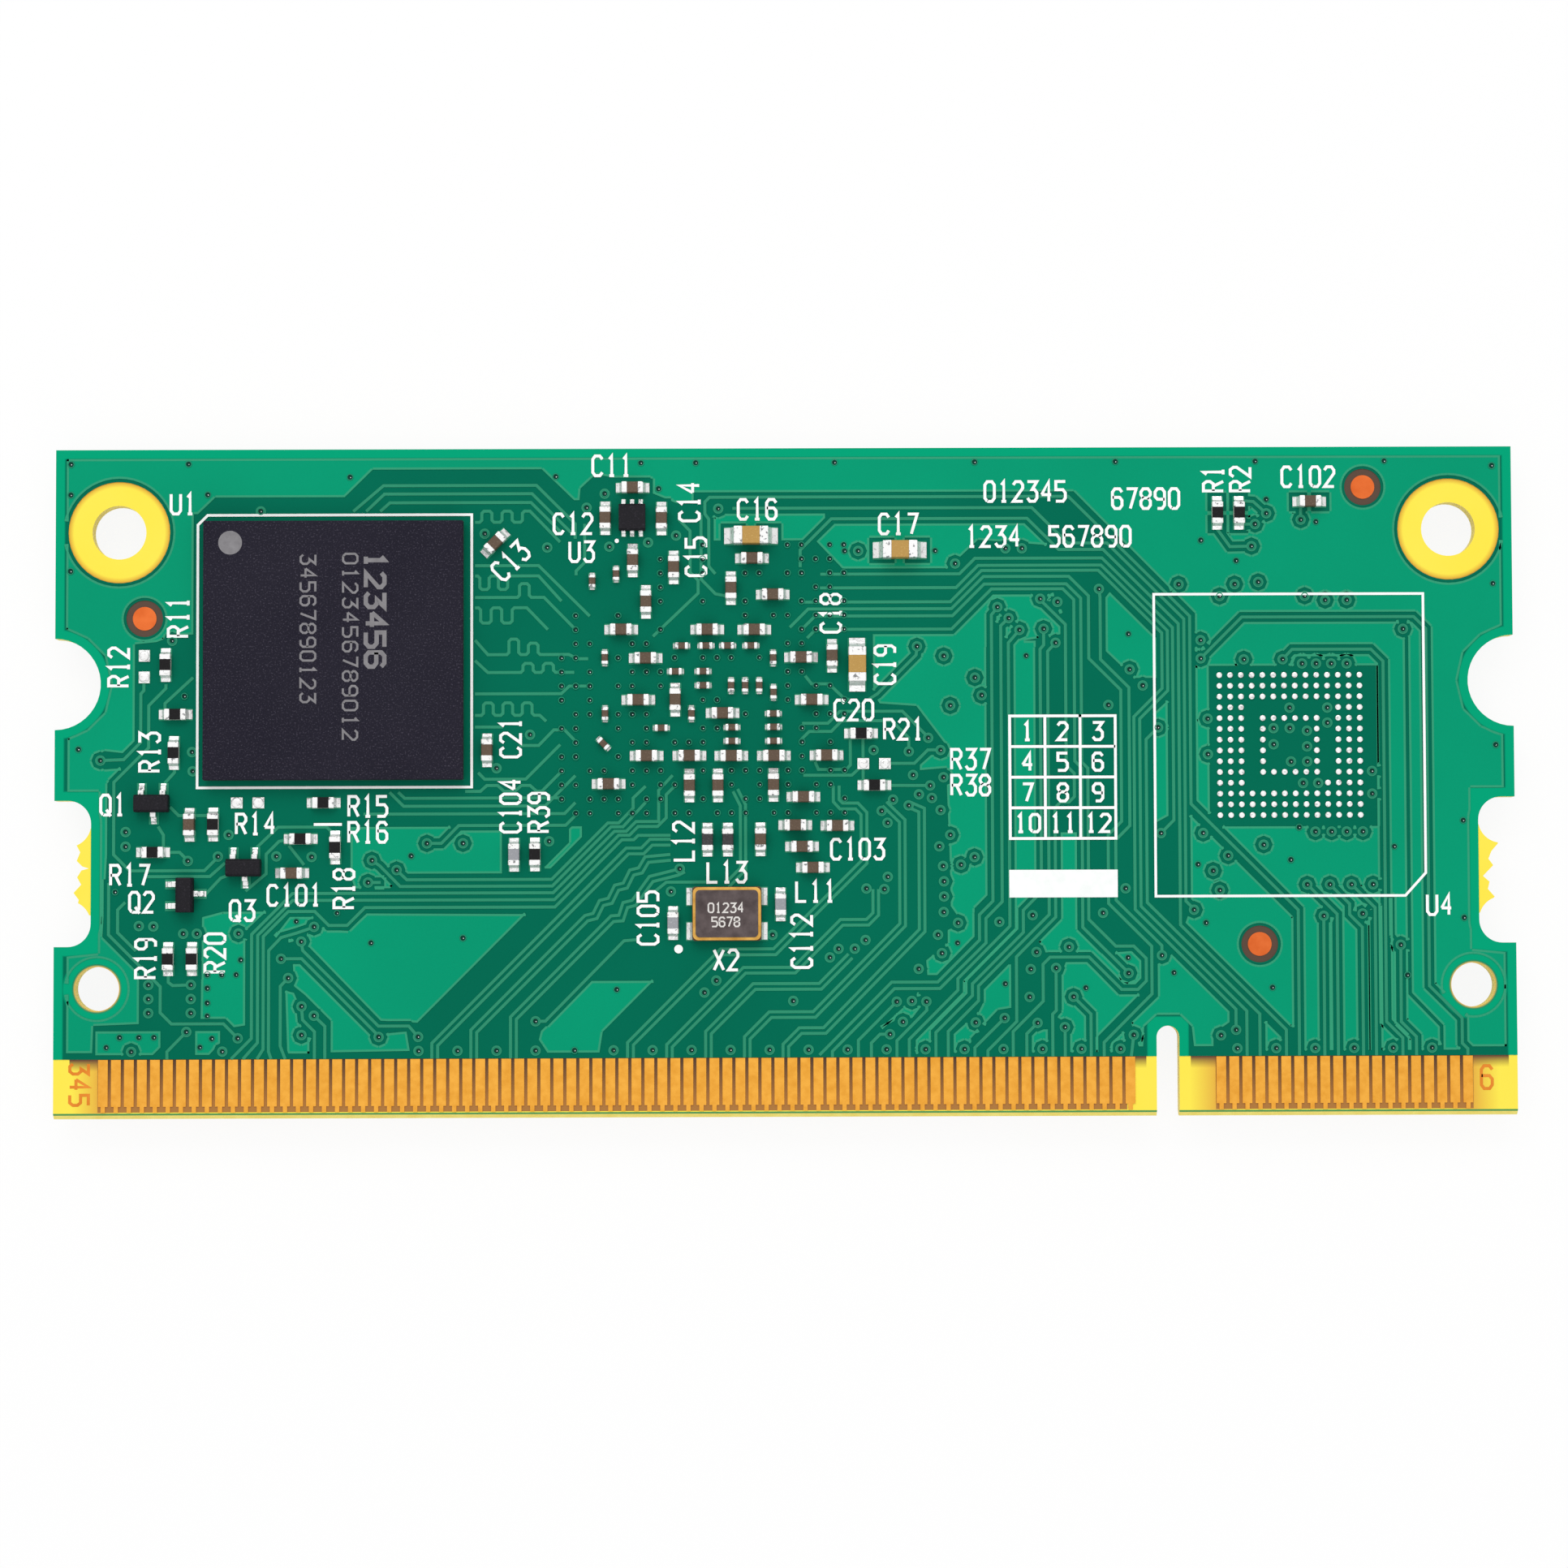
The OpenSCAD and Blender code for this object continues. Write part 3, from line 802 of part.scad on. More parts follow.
// Lands of every part on the memory side, as a flat shape
module lands_top() {
  for (p = medium_caps) translate(at(p)) rotate(p[2]) chip_lands(medium_l, medium_w, fillet_l);
  for (p = pale_caps) translate(at(p)) rotate(p[2]) chip_lands(medium_l, medium_w, fillet_l);
  for (p = beads) translate(at(p)) rotate(p[2]) chip_lands(medium_l, medium_w, fillet_l);
  for (p = resistors) translate(at(p)) rotate(p[2]) chip_lands(medium_l, medium_w, fillet_l);
  for (p = bare_parts) translate(at(p)) rotate(p[2]) chip_lands(medium_l, medium_w, fillet_l);
  for (p = large_caps) translate(at(p)) rotate(p[2]) chip_lands(large_l, large_w, fillet_l * 1.6);
  for (p = small_caps) translate(at(p)) rotate(p[2]) chip_lands(small_l, small_w, small_reach);
  for (p = transistors) translate(at(p)) rotate(p[2]) for (q = sot_leads) translate(sot_land_at(q))
    square([sot_lead_w + 0.2, sot_lead_l + 0.24], center = true);
  translate(at(tiny_at)) for (s = [-1, 1]) for (k = [-1:1])
    translate([k * tiny_pitch, s * (tiny_size / 2 + 0.1)]) square([0.26, 0.36], center = true);
  translate(at(crystal_at)) for (sx = [-1, 1]) for (sy = [-1, 1])
    translate([sx * (crystal_l / 2 - 0.25), sy * (crystal_w / 2 - 0.45)]) square([1.1, 0.9], center = true);
}

// Leads of a transistor: [x, side]
sot_leads = [[-0.5, 1], [0.5, 1], [0.06, -1]];
function sot_land_at(q) = [q[0], q[1] * (sot_w / 2 + sot_lead_l / 2 + 0.02)];

module tracks_top(facets) {
  for (r = routes_top) route(r, track_w);
  for (v = concat(vias_top, via_rows_top)) translate(at(v)) circle(via_land_r, $fn = facets);
}

module copper_top() {
  color("mediumseagreen") on_top() translate([0, 0, -copper_t]) linear_extrude(copper_t) {
    lands_top();
    tracks_top($fn);
  }
}

// A pour keeps pour_gap to every land and track and pour_inset to the board's own edge
pour_inset = 0.42;
module copper_pours_top() {
  color("mediumseagreen") on_top() translate([0, 0, -copper_t]) linear_extrude(copper_t)
    offset(delta = 0) intersection() {
      offset(delta = -pour_inset) outline();
      difference() {
        for (p = pours_top) polygon([for (q = p) at(q)]);
        offset(delta = pour_gap) {
          lands_top();
          tracks_top(8);
        }
        for (r = splits_top) route(r, pour_gap);
        round_holes(hole_ring_d + 0.3, pin_hole_d + 0.8);
        for (m = marks) translate(at(m)) circle(mark_clear_r + 0.12);
        translate(at(storage_clear[0])) square(storage_clear[1] - storage_clear[0]);
      }
    }
}

// Hidden side: every other finger runs up to a via, and series resistors sit in lines to the processor
fan_lines = [
  for (k = [0:2:len(finger_xs) - 1]) if (abs(finger_xs[k]) < half_w - 4.5)
    [[finger_xs[k], mask_edge_y - 0.1], [finger_xs[k], mask_edge_y + (k % 4 == 0 ? 1.7 : 0.9)]]
];
series_lines = concat(
  [for (k = [0:5]) [[-9.4 + 2.1 * k, -6.9], [-9.4 + 2.1 * k, -3]]],
  [for (k = [6:9]) [[-9.4 + 2.1 * k, -6.9], [-9.4 + 2.1 * k, -5.6]]],
  [for (k = [0:9]) [[-9.4 + 2.1 * k, -8.3], [-9.4 + 2.1 * k, -9.6]]]
);
vias_bottom = concat(
  [for (p = fan_lines) p[1]],
  [for (k = [6:9]) at([-9.4 + 2.1 * k, -5.6])],
  [for (k = [0:9]) at([-9.4 + 2.1 * k, -9.6])]
);
ground_vias_bottom = [for (i = [0:6]) for (j = [0:6]) [14 + 2.5 * i, -8.8 + 2.5 * j]];
pours_bottom = [
  [[-33.5, 15.2], [-14.4, 15.2], [-14.4, -7], [-33.5, -7]],
  [[6.6, 15.2], [33.5, 15.2], [33.5, -10.4], [12.6, -10.4], [12.6, -4], [6.6, -4]],
];

module lands_bottom() {
  for (p = concat(under_caps, under_resistors)) translate(at(p)) rotate(p[2])
    chip_lands(medium_l, medium_w, fillet_l);
  for (p = bulk_caps) translate(at(p)) rotate(p[2]) chip_lands(bulk_l, bulk_w, fillet_l * 1.5);
  for (p = coils) translate(at(p)) for (s = [-1, 1]) translate([s * (coil_size / 2 - 0.3), 0])
    square([1.1, coil_size * 0.9], center = true);
  for (p = converters) translate(at(p)) for (s = [-1, 1]) for (k = [-2:2])
    translate([k * 0.5, s * (converter_size / 2 - 0.05)]) square([0.3, 0.8], center = true);
  for (p = linears) translate(at(p)) for (q = linear_leads)
    translate([q[0], q[1] * (linear_w / 2 + 0.4)]) square([0.6, 0.8], center = true);
}

module tracks_bottom(facets) {
  for (p = fan_lines) ribbon(p, track_w);
  for (p = series_lines) ribbon([for (q = p) at(q)], track_w);
  for (v = vias_bottom) translate(v) circle(via_land_r, $fn = facets);
}

module copper_bottom() {
  color("mediumseagreen") on_bottom() translate([0, 0, -copper_t]) linear_extrude(copper_t) {
    lands_bottom();
    tracks_bottom($fn);
  }
}

module copper_pours_bottom() {
  color("mediumseagreen") on_bottom() translate([0, 0, -copper_t]) linear_extrude(copper_t)
    offset(delta = 0) intersection() {
      offset(delta = -pour_inset) outline();
      difference() {
        for (p = pours_bottom) polygon([for (q = p) at(q)]);
        offset(delta = pour_gap) {
          lands_bottom();
          tracks_bottom(8);
        }
        round_holes(hole_ring_d + 0.3, pin_hole_d + 0.8);
      }
    }
}

module finger() {
  linear_extrude(mask_t + copper_t) polygon([
    [-finger_w / 2, -finger_l], [-finger_w / 2, 0], [finger_w / 2, 0], [finger_w / 2, -finger_l],
    [finger_tail_w / 2, -finger_l], [finger_tail_w / 2, tail_gap - strip_h + 0.02],
    [-finger_tail_w / 2, tail_gap - strip_h + 0.02], [-finger_tail_w / 2, -finger_l],
  ]);
}

module finger_row() {
  for (x = finger_xs) translate([x, mask_edge_y - 0.02, -copper_t - mask_t]) finger();
}

module contact_fingers_top() {
  color("gold") on_top() finger_row();
}

module contact_fingers_bottom() {
  color("gold") on_bottom() finger_row();
}

module alignment_marks() {
  color("chocolate") on_top() for (m = marks) translate([at(m).x, at(m).y, -copper_t - mask_t])
    cylinder(r = mark_r, h = mask_t);
}

plug_h = 0.01;
module via_plugs_top() {
  color("darkslategray") on_top() {
    for (v = concat(vias_top, via_rows_top, ground_vias_top)) translate([at(v).x, at(v).y, 0])
      cylinder(r = via_plug_r, h = plug_h);
    for (v = grid_vias) translate([at(v).x, at(v).y, -copper_t])
      cylinder(r = via_plug_r, h = copper_t + plug_h);
  }
}

module via_plugs_bottom() {
  color("darkslategray") on_bottom() {
    for (v = vias_bottom) translate([v.x, v.y, 0]) cylinder(r = via_plug_r, h = plug_h);
    for (v = ground_vias_bottom) translate([at(v).x, at(v).y, 0]) cylinder(r = via_plug_r, h = plug_h);
  }
}

// Ball grid chips
module ball(d, h) {
  translate([0, 0, -copper_t]) cylinder(d = d, h = h + copper_t);
}

memory_count = floor((memory_size - 0.9) / memory_pitch) + 1;
function memory_ball_at(i) = (i - (memory_count - 1) / 2) * memory_pitch;

module memory_balls() {
  color("silver") on_top() spot(memory_at) for (i = [0:memory_count - 1]) for (j = [0:memory_count - 1])
    if (min(i, j, memory_count - 1 - i, memory_count - 1 - j) < memory_rings)
      translate([memory_ball_at(i), memory_ball_at(j), 0]) ball(memory_pitch * 0.56, memory_lift);
}

module memory_carrier() {
  color("darkgreen") on_top() spot(memory_at) translate([0, 0, memory_lift])
    block(memory_size, memory_size, memory_carrier_t);
}

module memory_mould() {
  mould_h = memory_h - memory_lift - memory_carrier_t;
  color("dimgray") on_top() spot(memory_at) translate([0, 0, memory_lift + memory_carrier_t])
    block(memory_size, memory_size, mould_h);
}

processor_count = floor((processor_size - 0.9) / processor_pitch) + 1;
function processor_ball_at(i) = (i - (processor_count - 1) / 2) * processor_pitch;
function processor_ring(i, j) = min(i, j, processor_count - 1 - i, processor_count - 1 - j);

module processor_balls() {
  color("silver") on_bottom() spot(processor_at)
    for (i = [0:processor_count - 1]) for (j = [0:processor_count - 1])
      if (processor_ring(i, j) < 3 || processor_ring(i, j) > 6)
        translate([processor_ball_at(i), processor_ball_at(j), 0])
          ball(processor_pitch * 0.54, processor_lift);
}

module processor_carrier() {
  color("darkgreen") on_bottom() spot(processor_at) translate([0, 0, processor_lift])
    block(processor_size, processor_size, processor_carrier_t);
}

module processor_mould() {
  side = processor_size - 2 * processor_step;
  mould_h = processor_h - processor_lift - processor_carrier_t;
  color("dimgray") on_bottom() spot(processor_at) translate([0, 0, processor_lift + processor_carrier_t])
    block(side, side, mould_h);
}

// Crystal can
module rounded_plate(l, w, h, r) {
  linear_extrude(h) {
    square([l - 2 * r, w], center = true);
    square([l, w - 2 * r], center = true);
    for (sx = [-1, 1]) for (sy = [-1, 1]) translate([sx * (l / 2 - r), sy * (w / 2 - r)]) circle(r);
  }
}

module crystal_base() {
  color("saddlebrown") on_top() spot(crystal_at) rounded_plate(crystal_l, crystal_w, crystal_h - 0.25, 0.15);
}

module crystal_seal_ring() {
  color("goldenrod") on_top() spot(crystal_at) translate([0, 0, crystal_h - 0.25])
    rounded_plate(crystal_l - 0.06, crystal_w - 0.06, 0.15, 0.25);
}

module crystal_lid() {
  color("gray") on_top() spot(crystal_at) translate([0, 0, crystal_h - 0.1])
    rounded_plate(crystal_l - 0.06 - 2 * crystal_rim, crystal_w - 0.06 - 2 * crystal_rim, 0.1, 0.2);
}

// Leaded chips: a lead runs from the body side at y = 0 out to reach, bent down to the land
module lead(w, reach, z, t) {
  rotate([90, 0, 90]) linear_extrude(w, center = true) polygon([
    [0, z - t / 2], [reach * 0.3, z - t / 2], [reach * 0.42, 0], [reach, 0], [reach, t],
    [reach * 0.62, t], [reach * 0.5, z + t / 2], [0, z + t / 2],
  ]);
}

module tiny_regulator_body() {
  color("dimgray") on_top() spot(tiny_at) translate([0, 0, 0.03])
    bar(tiny_size, tiny_size, tiny_h - 0.03, 0.08);
}

module tiny_regulator_leads() {
  color("silver") on_top() spot(tiny_at) for (t = [0, 180]) rotate(t) for (k = [-1:1])
    translate([k * tiny_pitch, tiny_size / 2, 0]) lead(0.2, 0.26, tiny_h * 0.45, 0.1);
}

module transistor_bodies() {
  color("dimgray") on_top() for (p = transistors) spot(p) translate([0, 0, 0.04])
    bar(sot_l, sot_w, sot_h - 0.04, 0.1);
}

module transistor_leads() {
  color("silver") on_top() for (p = transistors) spot(p) for (q = sot_leads)
    translate([q[0], q[1] * sot_w / 2, 0]) rotate(q[1] > 0 ? 0 : 180)
      lead(sot_lead_w, sot_lead_l, sot_h * 0.5, 0.12);
}

// Passive parts of the memory side
module large_capacitor_bodies() {
  color("peru") on_top() for (p = large_caps) spot(p) chip_body(large_l, large_w, large_h);
}

module large_capacitor_ends() {
  color("silver") on_top() for (p = large_caps) spot(p) chip_ends(large_l, large_w, large_h);
}

module medium_capacitor_bodies() {
  color("sienna") on_top() for (p = medium_caps) spot(p) chip_body(medium_l, medium_w, medium_h);
}

module medium_capacitor_ends() {
  color("silver") on_top() for (p = medium_caps) spot(p) chip_ends(medium_l, medium_w, medium_h);
}

module pale_capacitor_bodies() {
  color("lightgray") on_top() for (p = pale_caps) spot(p) chip_body(medium_l, medium_w, medium_h);
}

module pale_capacitor_ends() {
  color("silver") on_top() for (p = pale_caps) spot(p) chip_ends(medium_l, medium_w, medium_h);
}

module bead_bodies() {
  color("darkslategray") on_top() for (p = beads) spot(p) chip_body(medium_l, medium_w, medium_h);
}

module bead_ends() {
  color("silver") on_top() for (p = beads) spot(p) chip_ends(medium_l, medium_w, medium_h);
}

module small_capacitor_bodies() {
  color("sienna") on_top() for (p = small_caps) spot(p) chip_body(small_l, small_w, small_h);
}

module small_capacitor_ends() {
  color("silver") on_top() for (p = small_caps) spot(p) chip_ends(small_l, small_w, small_h);
}

coat_t = 0.06;
module resistor_bodies() {
  color("white") on_top() for (p = resistors) spot(p) chip_body(medium_l, medium_w, resistor_h - coat_t);
}

module resistor_coat(l, w, h) {
  translate([0, 0, h - coat_t - 0.01]) block(l - 2 * end_l(l), w - 0.02, coat_t);
}

module resistor_coats() {
  color("black") on_top() for (p = resistors) spot(p) resistor_coat(medium_l, medium_w, resistor_h);
}

module resistor_ends() {
  color("silver") on_top() for (p = resistors) spot(p) chip_ends(medium_l, medium_w, resistor_h);
}

module solder_joints_top() {
  color("silver") on_top() {
    for (p = concat(medium_caps, pale_caps, beads)) spot(p)
      chip_joints(medium_l, medium_w, medium_h, fillet_l);
    for (p = resistors) spot(p) chip_joints(medium_l, medium_w, resistor_h, fillet_l);
    for (p = large_caps) spot(p) chip_joints(large_l, large_w, large_h, fillet_l * 1.6);
    for (p = small_caps) spot(p) chip_joints(small_l, small_w, small_h, small_reach);
    for (p = transistors) spot(p) for (q = sot_leads)
      translate([q[0], q[1] * (sot_w / 2 + sot_lead_l), 0]) rotate(q[1] > 0 ? 90 : -90)
        fillet(0.12, sot_lead_w, 0.12);
    spot(crystal_at) for (sx = [0, 180]) for (sy = [-1, 1]) rotate(sx)
      translate([crystal_l / 2, sy * (crystal_w / 2 - 0.45), 0]) fillet(0.27, 0.8, 0.3);
  }
}

module bare_lands() {
  color("silver") on_top() for (p = bare_parts) spot(p) for (s = [-1, 1])
    translate([s * medium_l / 2, 0, 0]) bar(0.54, medium_w, 0.06, 0.025);
}

module storage_lands() {
  color("silver") on_top() spot(storage_at) for (r = [0:13]) for (c = [0:13]) if (storage_rows[r][c])
    translate([(c - 6.5) * land_pitch, (6.5 - r) * land_pitch, -copper_t]) cylinder(d = land_d, h = 0.06);
}

// Parts of the hidden side
module coil_bodies() {
  color("dimgray") on_bottom() for (p = coils) spot(p) translate([0, 0, 0.05])
    bar(coil_size - 0.2, coil_size, coil_h - 0.05, 0.15);
}

module coil_terminals() {
  color("silver") on_bottom() for (p = coils) spot(p) for (s = [-1, 1])
    translate([s * (coil_size - 0.1) / 2, 0, 0]) block(0.1, coil_size * 0.8, coil_h * 0.6);
}

module converter_bodies() {
  color("dimgray") on_bottom() for (p = converters) spot(p) translate([0, 0, 0.05])
    block(converter_size, converter_size, converter_h - 0.05);
}

module converter_pads() {
  color("silver") on_bottom() for (p = converters) spot(p) for (s = [-1, 1]) for (k = [-2:2])
    translate([k * 0.5, s * (converter_size / 2 - 0.15), 0]) block(0.26, 0.5, 0.05);
}

module linear_regulator_bodies() {
  color("dimgray") on_bottom() for (p = linears) spot(p) translate([0, 0, 0.08])
    bar(linear_l, linear_w, linear_h - 0.08, 0.15);
}

linear_leads = [[-0.95, 1], [0, 1], [0.95, 1], [-0.95, -1], [0.95, -1]];
module linear_regulator_leads() {
  color("silver") on_bottom() for (p = linears) spot(p) for (q = linear_leads)
    translate([q[0], q[1] * linear_w / 2, 0]) rotate(q[1] > 0 ? 0 : 180) lead(0.4, 0.6, linear_h * 0.5, 0.14);
}

module bulk_capacitor_bodies() {
  color("peru") on_bottom() for (p = bulk_caps) spot(p) chip_body(bulk_l, bulk_w, bulk_h);
}

module bulk_capacitor_ends() {
  color("silver") on_bottom() for (p = bulk_caps) spot(p) chip_ends(bulk_l, bulk_w, bulk_h);
}

module under_capacitor_bodies() {
  color("sienna") on_bottom() for (p = under_caps) spot(p) chip_body(medium_l, medium_w, medium_h);
}

module under_capacitor_ends() {
  color("silver") on_bottom() for (p = under_caps) spot(p) chip_ends(medium_l, medium_w, medium_h);
}

module under_resistor_bodies() {
  color("white") on_bottom() for (p = under_resistors) spot(p)
    chip_body(medium_l, medium_w, resistor_h - coat_t);
}

module under_resistor_coats() {
  color("black") on_bottom() for (p = under_resistors) spot(p) resistor_coat(medium_l, medium_w, resistor_h);
}

module under_resistor_ends() {
  color("silver") on_bottom() for (p = under_resistors) spot(p) chip_ends(medium_l, medium_w, resistor_h);
}

module solder_joints_bottom() {
  color("silver") on_bottom() {
    for (p = under_caps) spot(p) chip_joints(medium_l, medium_w, medium_h, fillet_l);
    for (p = under_resistors) spot(p) chip_joints(medium_l, medium_w, resistor_h, fillet_l);
    for (p = bulk_caps) spot(p) chip_joints(bulk_l, bulk_w, bulk_h, fillet_l * 1.5);
    for (p = coils) spot(p) for (t = [0, 180]) rotate(t) translate([coil_size / 2, 0, 0])
      fillet(0.22, coil_size * 0.7, coil_h * 0.4);
  }
}

laminate();
solder_mask_top();
solder_mask_bottom();
copper_top();
copper_pours_top();
copper_bottom();
copper_pours_bottom();
contact_fingers_top();
contact_fingers_bottom();
alignment_marks();
via_plugs_top();
via_plugs_bottom();
memory_mould();
memory_carrier();
memory_balls();
crystal_base();
crystal_seal_ring();
crystal_lid();
tiny_regulator_body();
tiny_regulator_leads();
transistor_bodies();
transistor_leads();
large_capacitor_bodies();
large_capacitor_ends();
medium_capacitor_bodies();
medium_capacitor_ends();
pale_capacitor_bodies();
pale_capacitor_ends();
small_capacitor_bodies();
small_capacitor_ends();
resistor_bodies();
resistor_coats();
resistor_ends();
bead_bodies();
bead_ends();
solder_joints_top();
bare_lands();
storage_lands();
processor_mould();
processor_carrier();
processor_balls();
coil_bodies();
coil_terminals();
converter_bodies();
converter_pads();
linear_regulator_bodies();
linear_regulator_leads();
bulk_capacitor_bodies();
bulk_capacitor_ends();
under_capacitor_bodies();
under_capacitor_ends();
under_resistor_bodies();
under_resistor_coats();
under_resistor_ends();
solder_joints_bottom();
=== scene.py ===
# %% [markdown]
# # A system on module, dressed for its portrait
# The CAD model already holds every solid: the laminate, the lacquer sheets, the copper relief, the chips
# and the small parts. This script gives each of them a surface, adds what is too thin to be a solid (white
# ink, rims of plated holes, domes of solder), and sets the light and the camera as in the photograph.

import json
import math

import bpy
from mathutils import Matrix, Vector


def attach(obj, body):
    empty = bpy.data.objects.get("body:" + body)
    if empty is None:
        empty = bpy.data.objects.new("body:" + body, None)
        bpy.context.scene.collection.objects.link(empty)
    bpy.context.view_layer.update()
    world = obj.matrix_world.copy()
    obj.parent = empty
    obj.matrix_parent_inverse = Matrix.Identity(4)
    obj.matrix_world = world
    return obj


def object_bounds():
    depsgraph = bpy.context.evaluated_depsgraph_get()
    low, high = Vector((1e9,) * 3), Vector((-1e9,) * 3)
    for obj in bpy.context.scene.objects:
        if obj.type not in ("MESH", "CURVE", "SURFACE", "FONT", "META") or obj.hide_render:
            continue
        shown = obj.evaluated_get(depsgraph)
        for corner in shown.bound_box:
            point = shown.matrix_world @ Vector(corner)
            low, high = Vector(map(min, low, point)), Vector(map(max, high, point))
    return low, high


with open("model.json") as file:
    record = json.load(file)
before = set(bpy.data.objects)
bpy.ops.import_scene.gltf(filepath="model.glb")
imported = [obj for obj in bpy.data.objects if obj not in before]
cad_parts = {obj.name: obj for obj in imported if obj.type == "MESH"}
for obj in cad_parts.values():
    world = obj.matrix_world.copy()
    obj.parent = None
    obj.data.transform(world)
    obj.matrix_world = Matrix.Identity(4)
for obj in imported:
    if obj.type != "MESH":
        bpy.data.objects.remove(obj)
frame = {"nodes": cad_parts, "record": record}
cad_low, cad_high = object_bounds()
nodes = frame["nodes"]
MM = 0.001
print("nodes", len(nodes), "box mm", [round(v / MM, 2) for v in (*cad_low, *cad_high)])

# %% [markdown]
# ## Shader arithmetic
# A surface pattern is a formula of position. It could be wired by hand, one box at a time, but a line such
# as `x * 2 + 1` is easier to read and to change. So one small class wraps a node's socket and turns
# Python's operators into Math nodes.


# %% A socket that can be added and multiplied
class Val:
    """A node's output with arithmetic."""

    def __init__(self, net, socket):
        self.net = net
        self.socket = socket

    def op(self, name, *others, swap=False, clamp=False):
        math_node = self.net.tree.nodes.new("ShaderNodeMath")
        math_node.operation = name
        math_node.use_clamp = clamp
        terms = [others[0], self] if swap else [self, *others]
        for slot, term in zip(math_node.inputs, terms):
            self.net.feed(slot, term)
        return Val(self.net, math_node.outputs[0])

    def __add__(self, other):
        return self.op("ADD", other)

    def __radd__(self, other):
        return self.op("ADD", other, swap=True)

    def __sub__(self, other):
        return self.op("SUBTRACT", other)

    def __rsub__(self, other):
        return self.op("SUBTRACT", other, swap=True)

    def __mul__(self, other):
        return self.op("MULTIPLY", other)

    def __rmul__(self, other):
        return self.op("MULTIPLY", other, swap=True)

    def __truediv__(self, other):
        return self.op("DIVIDE", other)

    def __rtruediv__(self, other):
        return self.op("DIVIDE", other, swap=True)

    def __lt__(self, other):
        return self.op("LESS_THAN", other)

    def __gt__(self, other):
        return self.op("GREATER_THAN", other)

    def __abs__(self):
        return self.op("ABSOLUTE")

    def low(self, other):
        return self.op("MINIMUM", other)

    def high(self, other):
        return self.op("MAXIMUM", other)

    def root(self):
        return self.op("SQRT")

    def ramp(self, start, end):
        """0 at start, 1 at end, straight between."""
        return ((self - start) / (end - start)).op("ADD", 0.0, clamp=True)

    def within(self, start, end):
        """1 between start and end, 0 outside."""
        return (self > start) * (self < end)


print("sockets take + - * / < > and abs")

# %% [markdown]
# ### Trees and surfaces
# Every node that isn't a Math node comes from one method, which takes the node's type, its settings and
# what goes into its sockets. A surface is such a tree with a material's main shader, and it knows the
# place on the board in millimetres. That place comes from Object coordinates, because they stay put when
# the model is moved or exported.


# %% Node trees
class Net:
    """A node tree to which any node is added by one method."""

    def __init__(self, tree):
        self.tree = tree

    def feed(self, slot, value):
        if isinstance(value, Val):
            self.tree.links.new(value.socket, slot)
        elif hasattr(slot.default_value, "__len__") and not hasattr(value, "__len__"):
            slot.default_value = [value] * len(slot.default_value)
        else:
            slot.default_value = value

    def node(self, kind, settings=None, out=0, **inputs):
        """Adds a node and gives one of its outputs, or the node itself where out is None."""
        made = self.tree.nodes.new(kind)
        for key, value in (settings or {}).items():
            setattr(made, key, value)
        for key, value in inputs.items():
            found = [s for s in made.inputs if s.name == key.replace("_", " ") and s.enabled]
            self.feed(found[0], value)
        return made if out is None else Val(self, made.outputs[out])


class Surface(Net):
    """A material's tree, with its main shader and the place on the board in mm."""

    def __init__(self, name):
        self.mat = bpy.data.materials.new(name)
        self.mat.use_nodes = True
        super().__init__(self.mat.node_tree)
        self.shader = self.tree.nodes["Principled BSDF"]
        self.place = self.node("ShaderNodeTexCoord", out="Object")
        split = self.node("ShaderNodeSeparateXYZ", Vector=self.place, out=None)
        self.x, self.y, self.z = [Val(self, axis) * (1 / MM) for axis in split.outputs]

    def noise(self, scale, detail=3.0, rough=0.55):
        settings = {"Scale": scale, "Detail": detail, "Roughness": rough}
        return self.node("ShaderNodeTexNoise", Vector=self.place, **settings)

    def mix(self, factor, a, b):
        """Colour a where factor is 0, colour b where it is 1."""
        made = self.node("ShaderNodeMix", {"data_type": "RGBA"}, out=None)
        for slot, value in zip([s for s in made.inputs if s.enabled], (factor, a, b)):
            self.feed(slot, value)
        return Val(self, [s for s in made.outputs if s.enabled][0])

    def bump(self, height, strength, distance_mm):
        return self.node("ShaderNodeBump", Height=height, Strength=strength, Distance=distance_mm * MM)

    def reach(self, x, y, mirrored=False):
        """Distance in mm from an upright axis at x, y, or from it and its twin on the other side."""
        across = (abs(self.x) if mirrored else self.x) - x
        along = self.y - y
        return (across * across + along * along).root()

    def set(self, **inputs):
        for key, value in inputs.items():
            self.feed(self.shader.inputs[key.replace("_", " ")], value)
        return self.mat


print("surfaces know x, y and z in mm")

# %% [markdown]
# ## The board's outline
# The lacquer looks brighter along the board's edge, where the copper planes below it stop short. That rim
# could be a strip of mesh, but a strip would need its own solid round every notch. A formula is enough:
# the distance to the nearest part of the outline, from the same holes, notches and slot that the CAD cuts.

# %% Distance to the outline
HALF_W = cad_high[0] / MM
FAR_Y = cad_high[1] / MM
NEAR_Y = cad_low[1] / MM
LATCH_R = 2.12
TAB_SLOT_X = 32.1
TAB_SLOT_Y = -4.18
TAB_SLOT_HALF = 3.38
PEG_RIM_R = 1.15
KEY_X = 17.65
KEY_HALF = 0.525
KEY_TOP = -11.35
mounts = {mount["name"]: mount for mount in frame["record"]["mounts"]}
latch_y = mounts["latch_notches"]["pos_m"][1] / MM


def right_hole(name):
    """Place in mm of the right one of two holes that the record states as a mount."""
    return mounts[name]["dims"]["spacing_x_mm"] / 2, mounts[name]["pos_m"][1] / MM


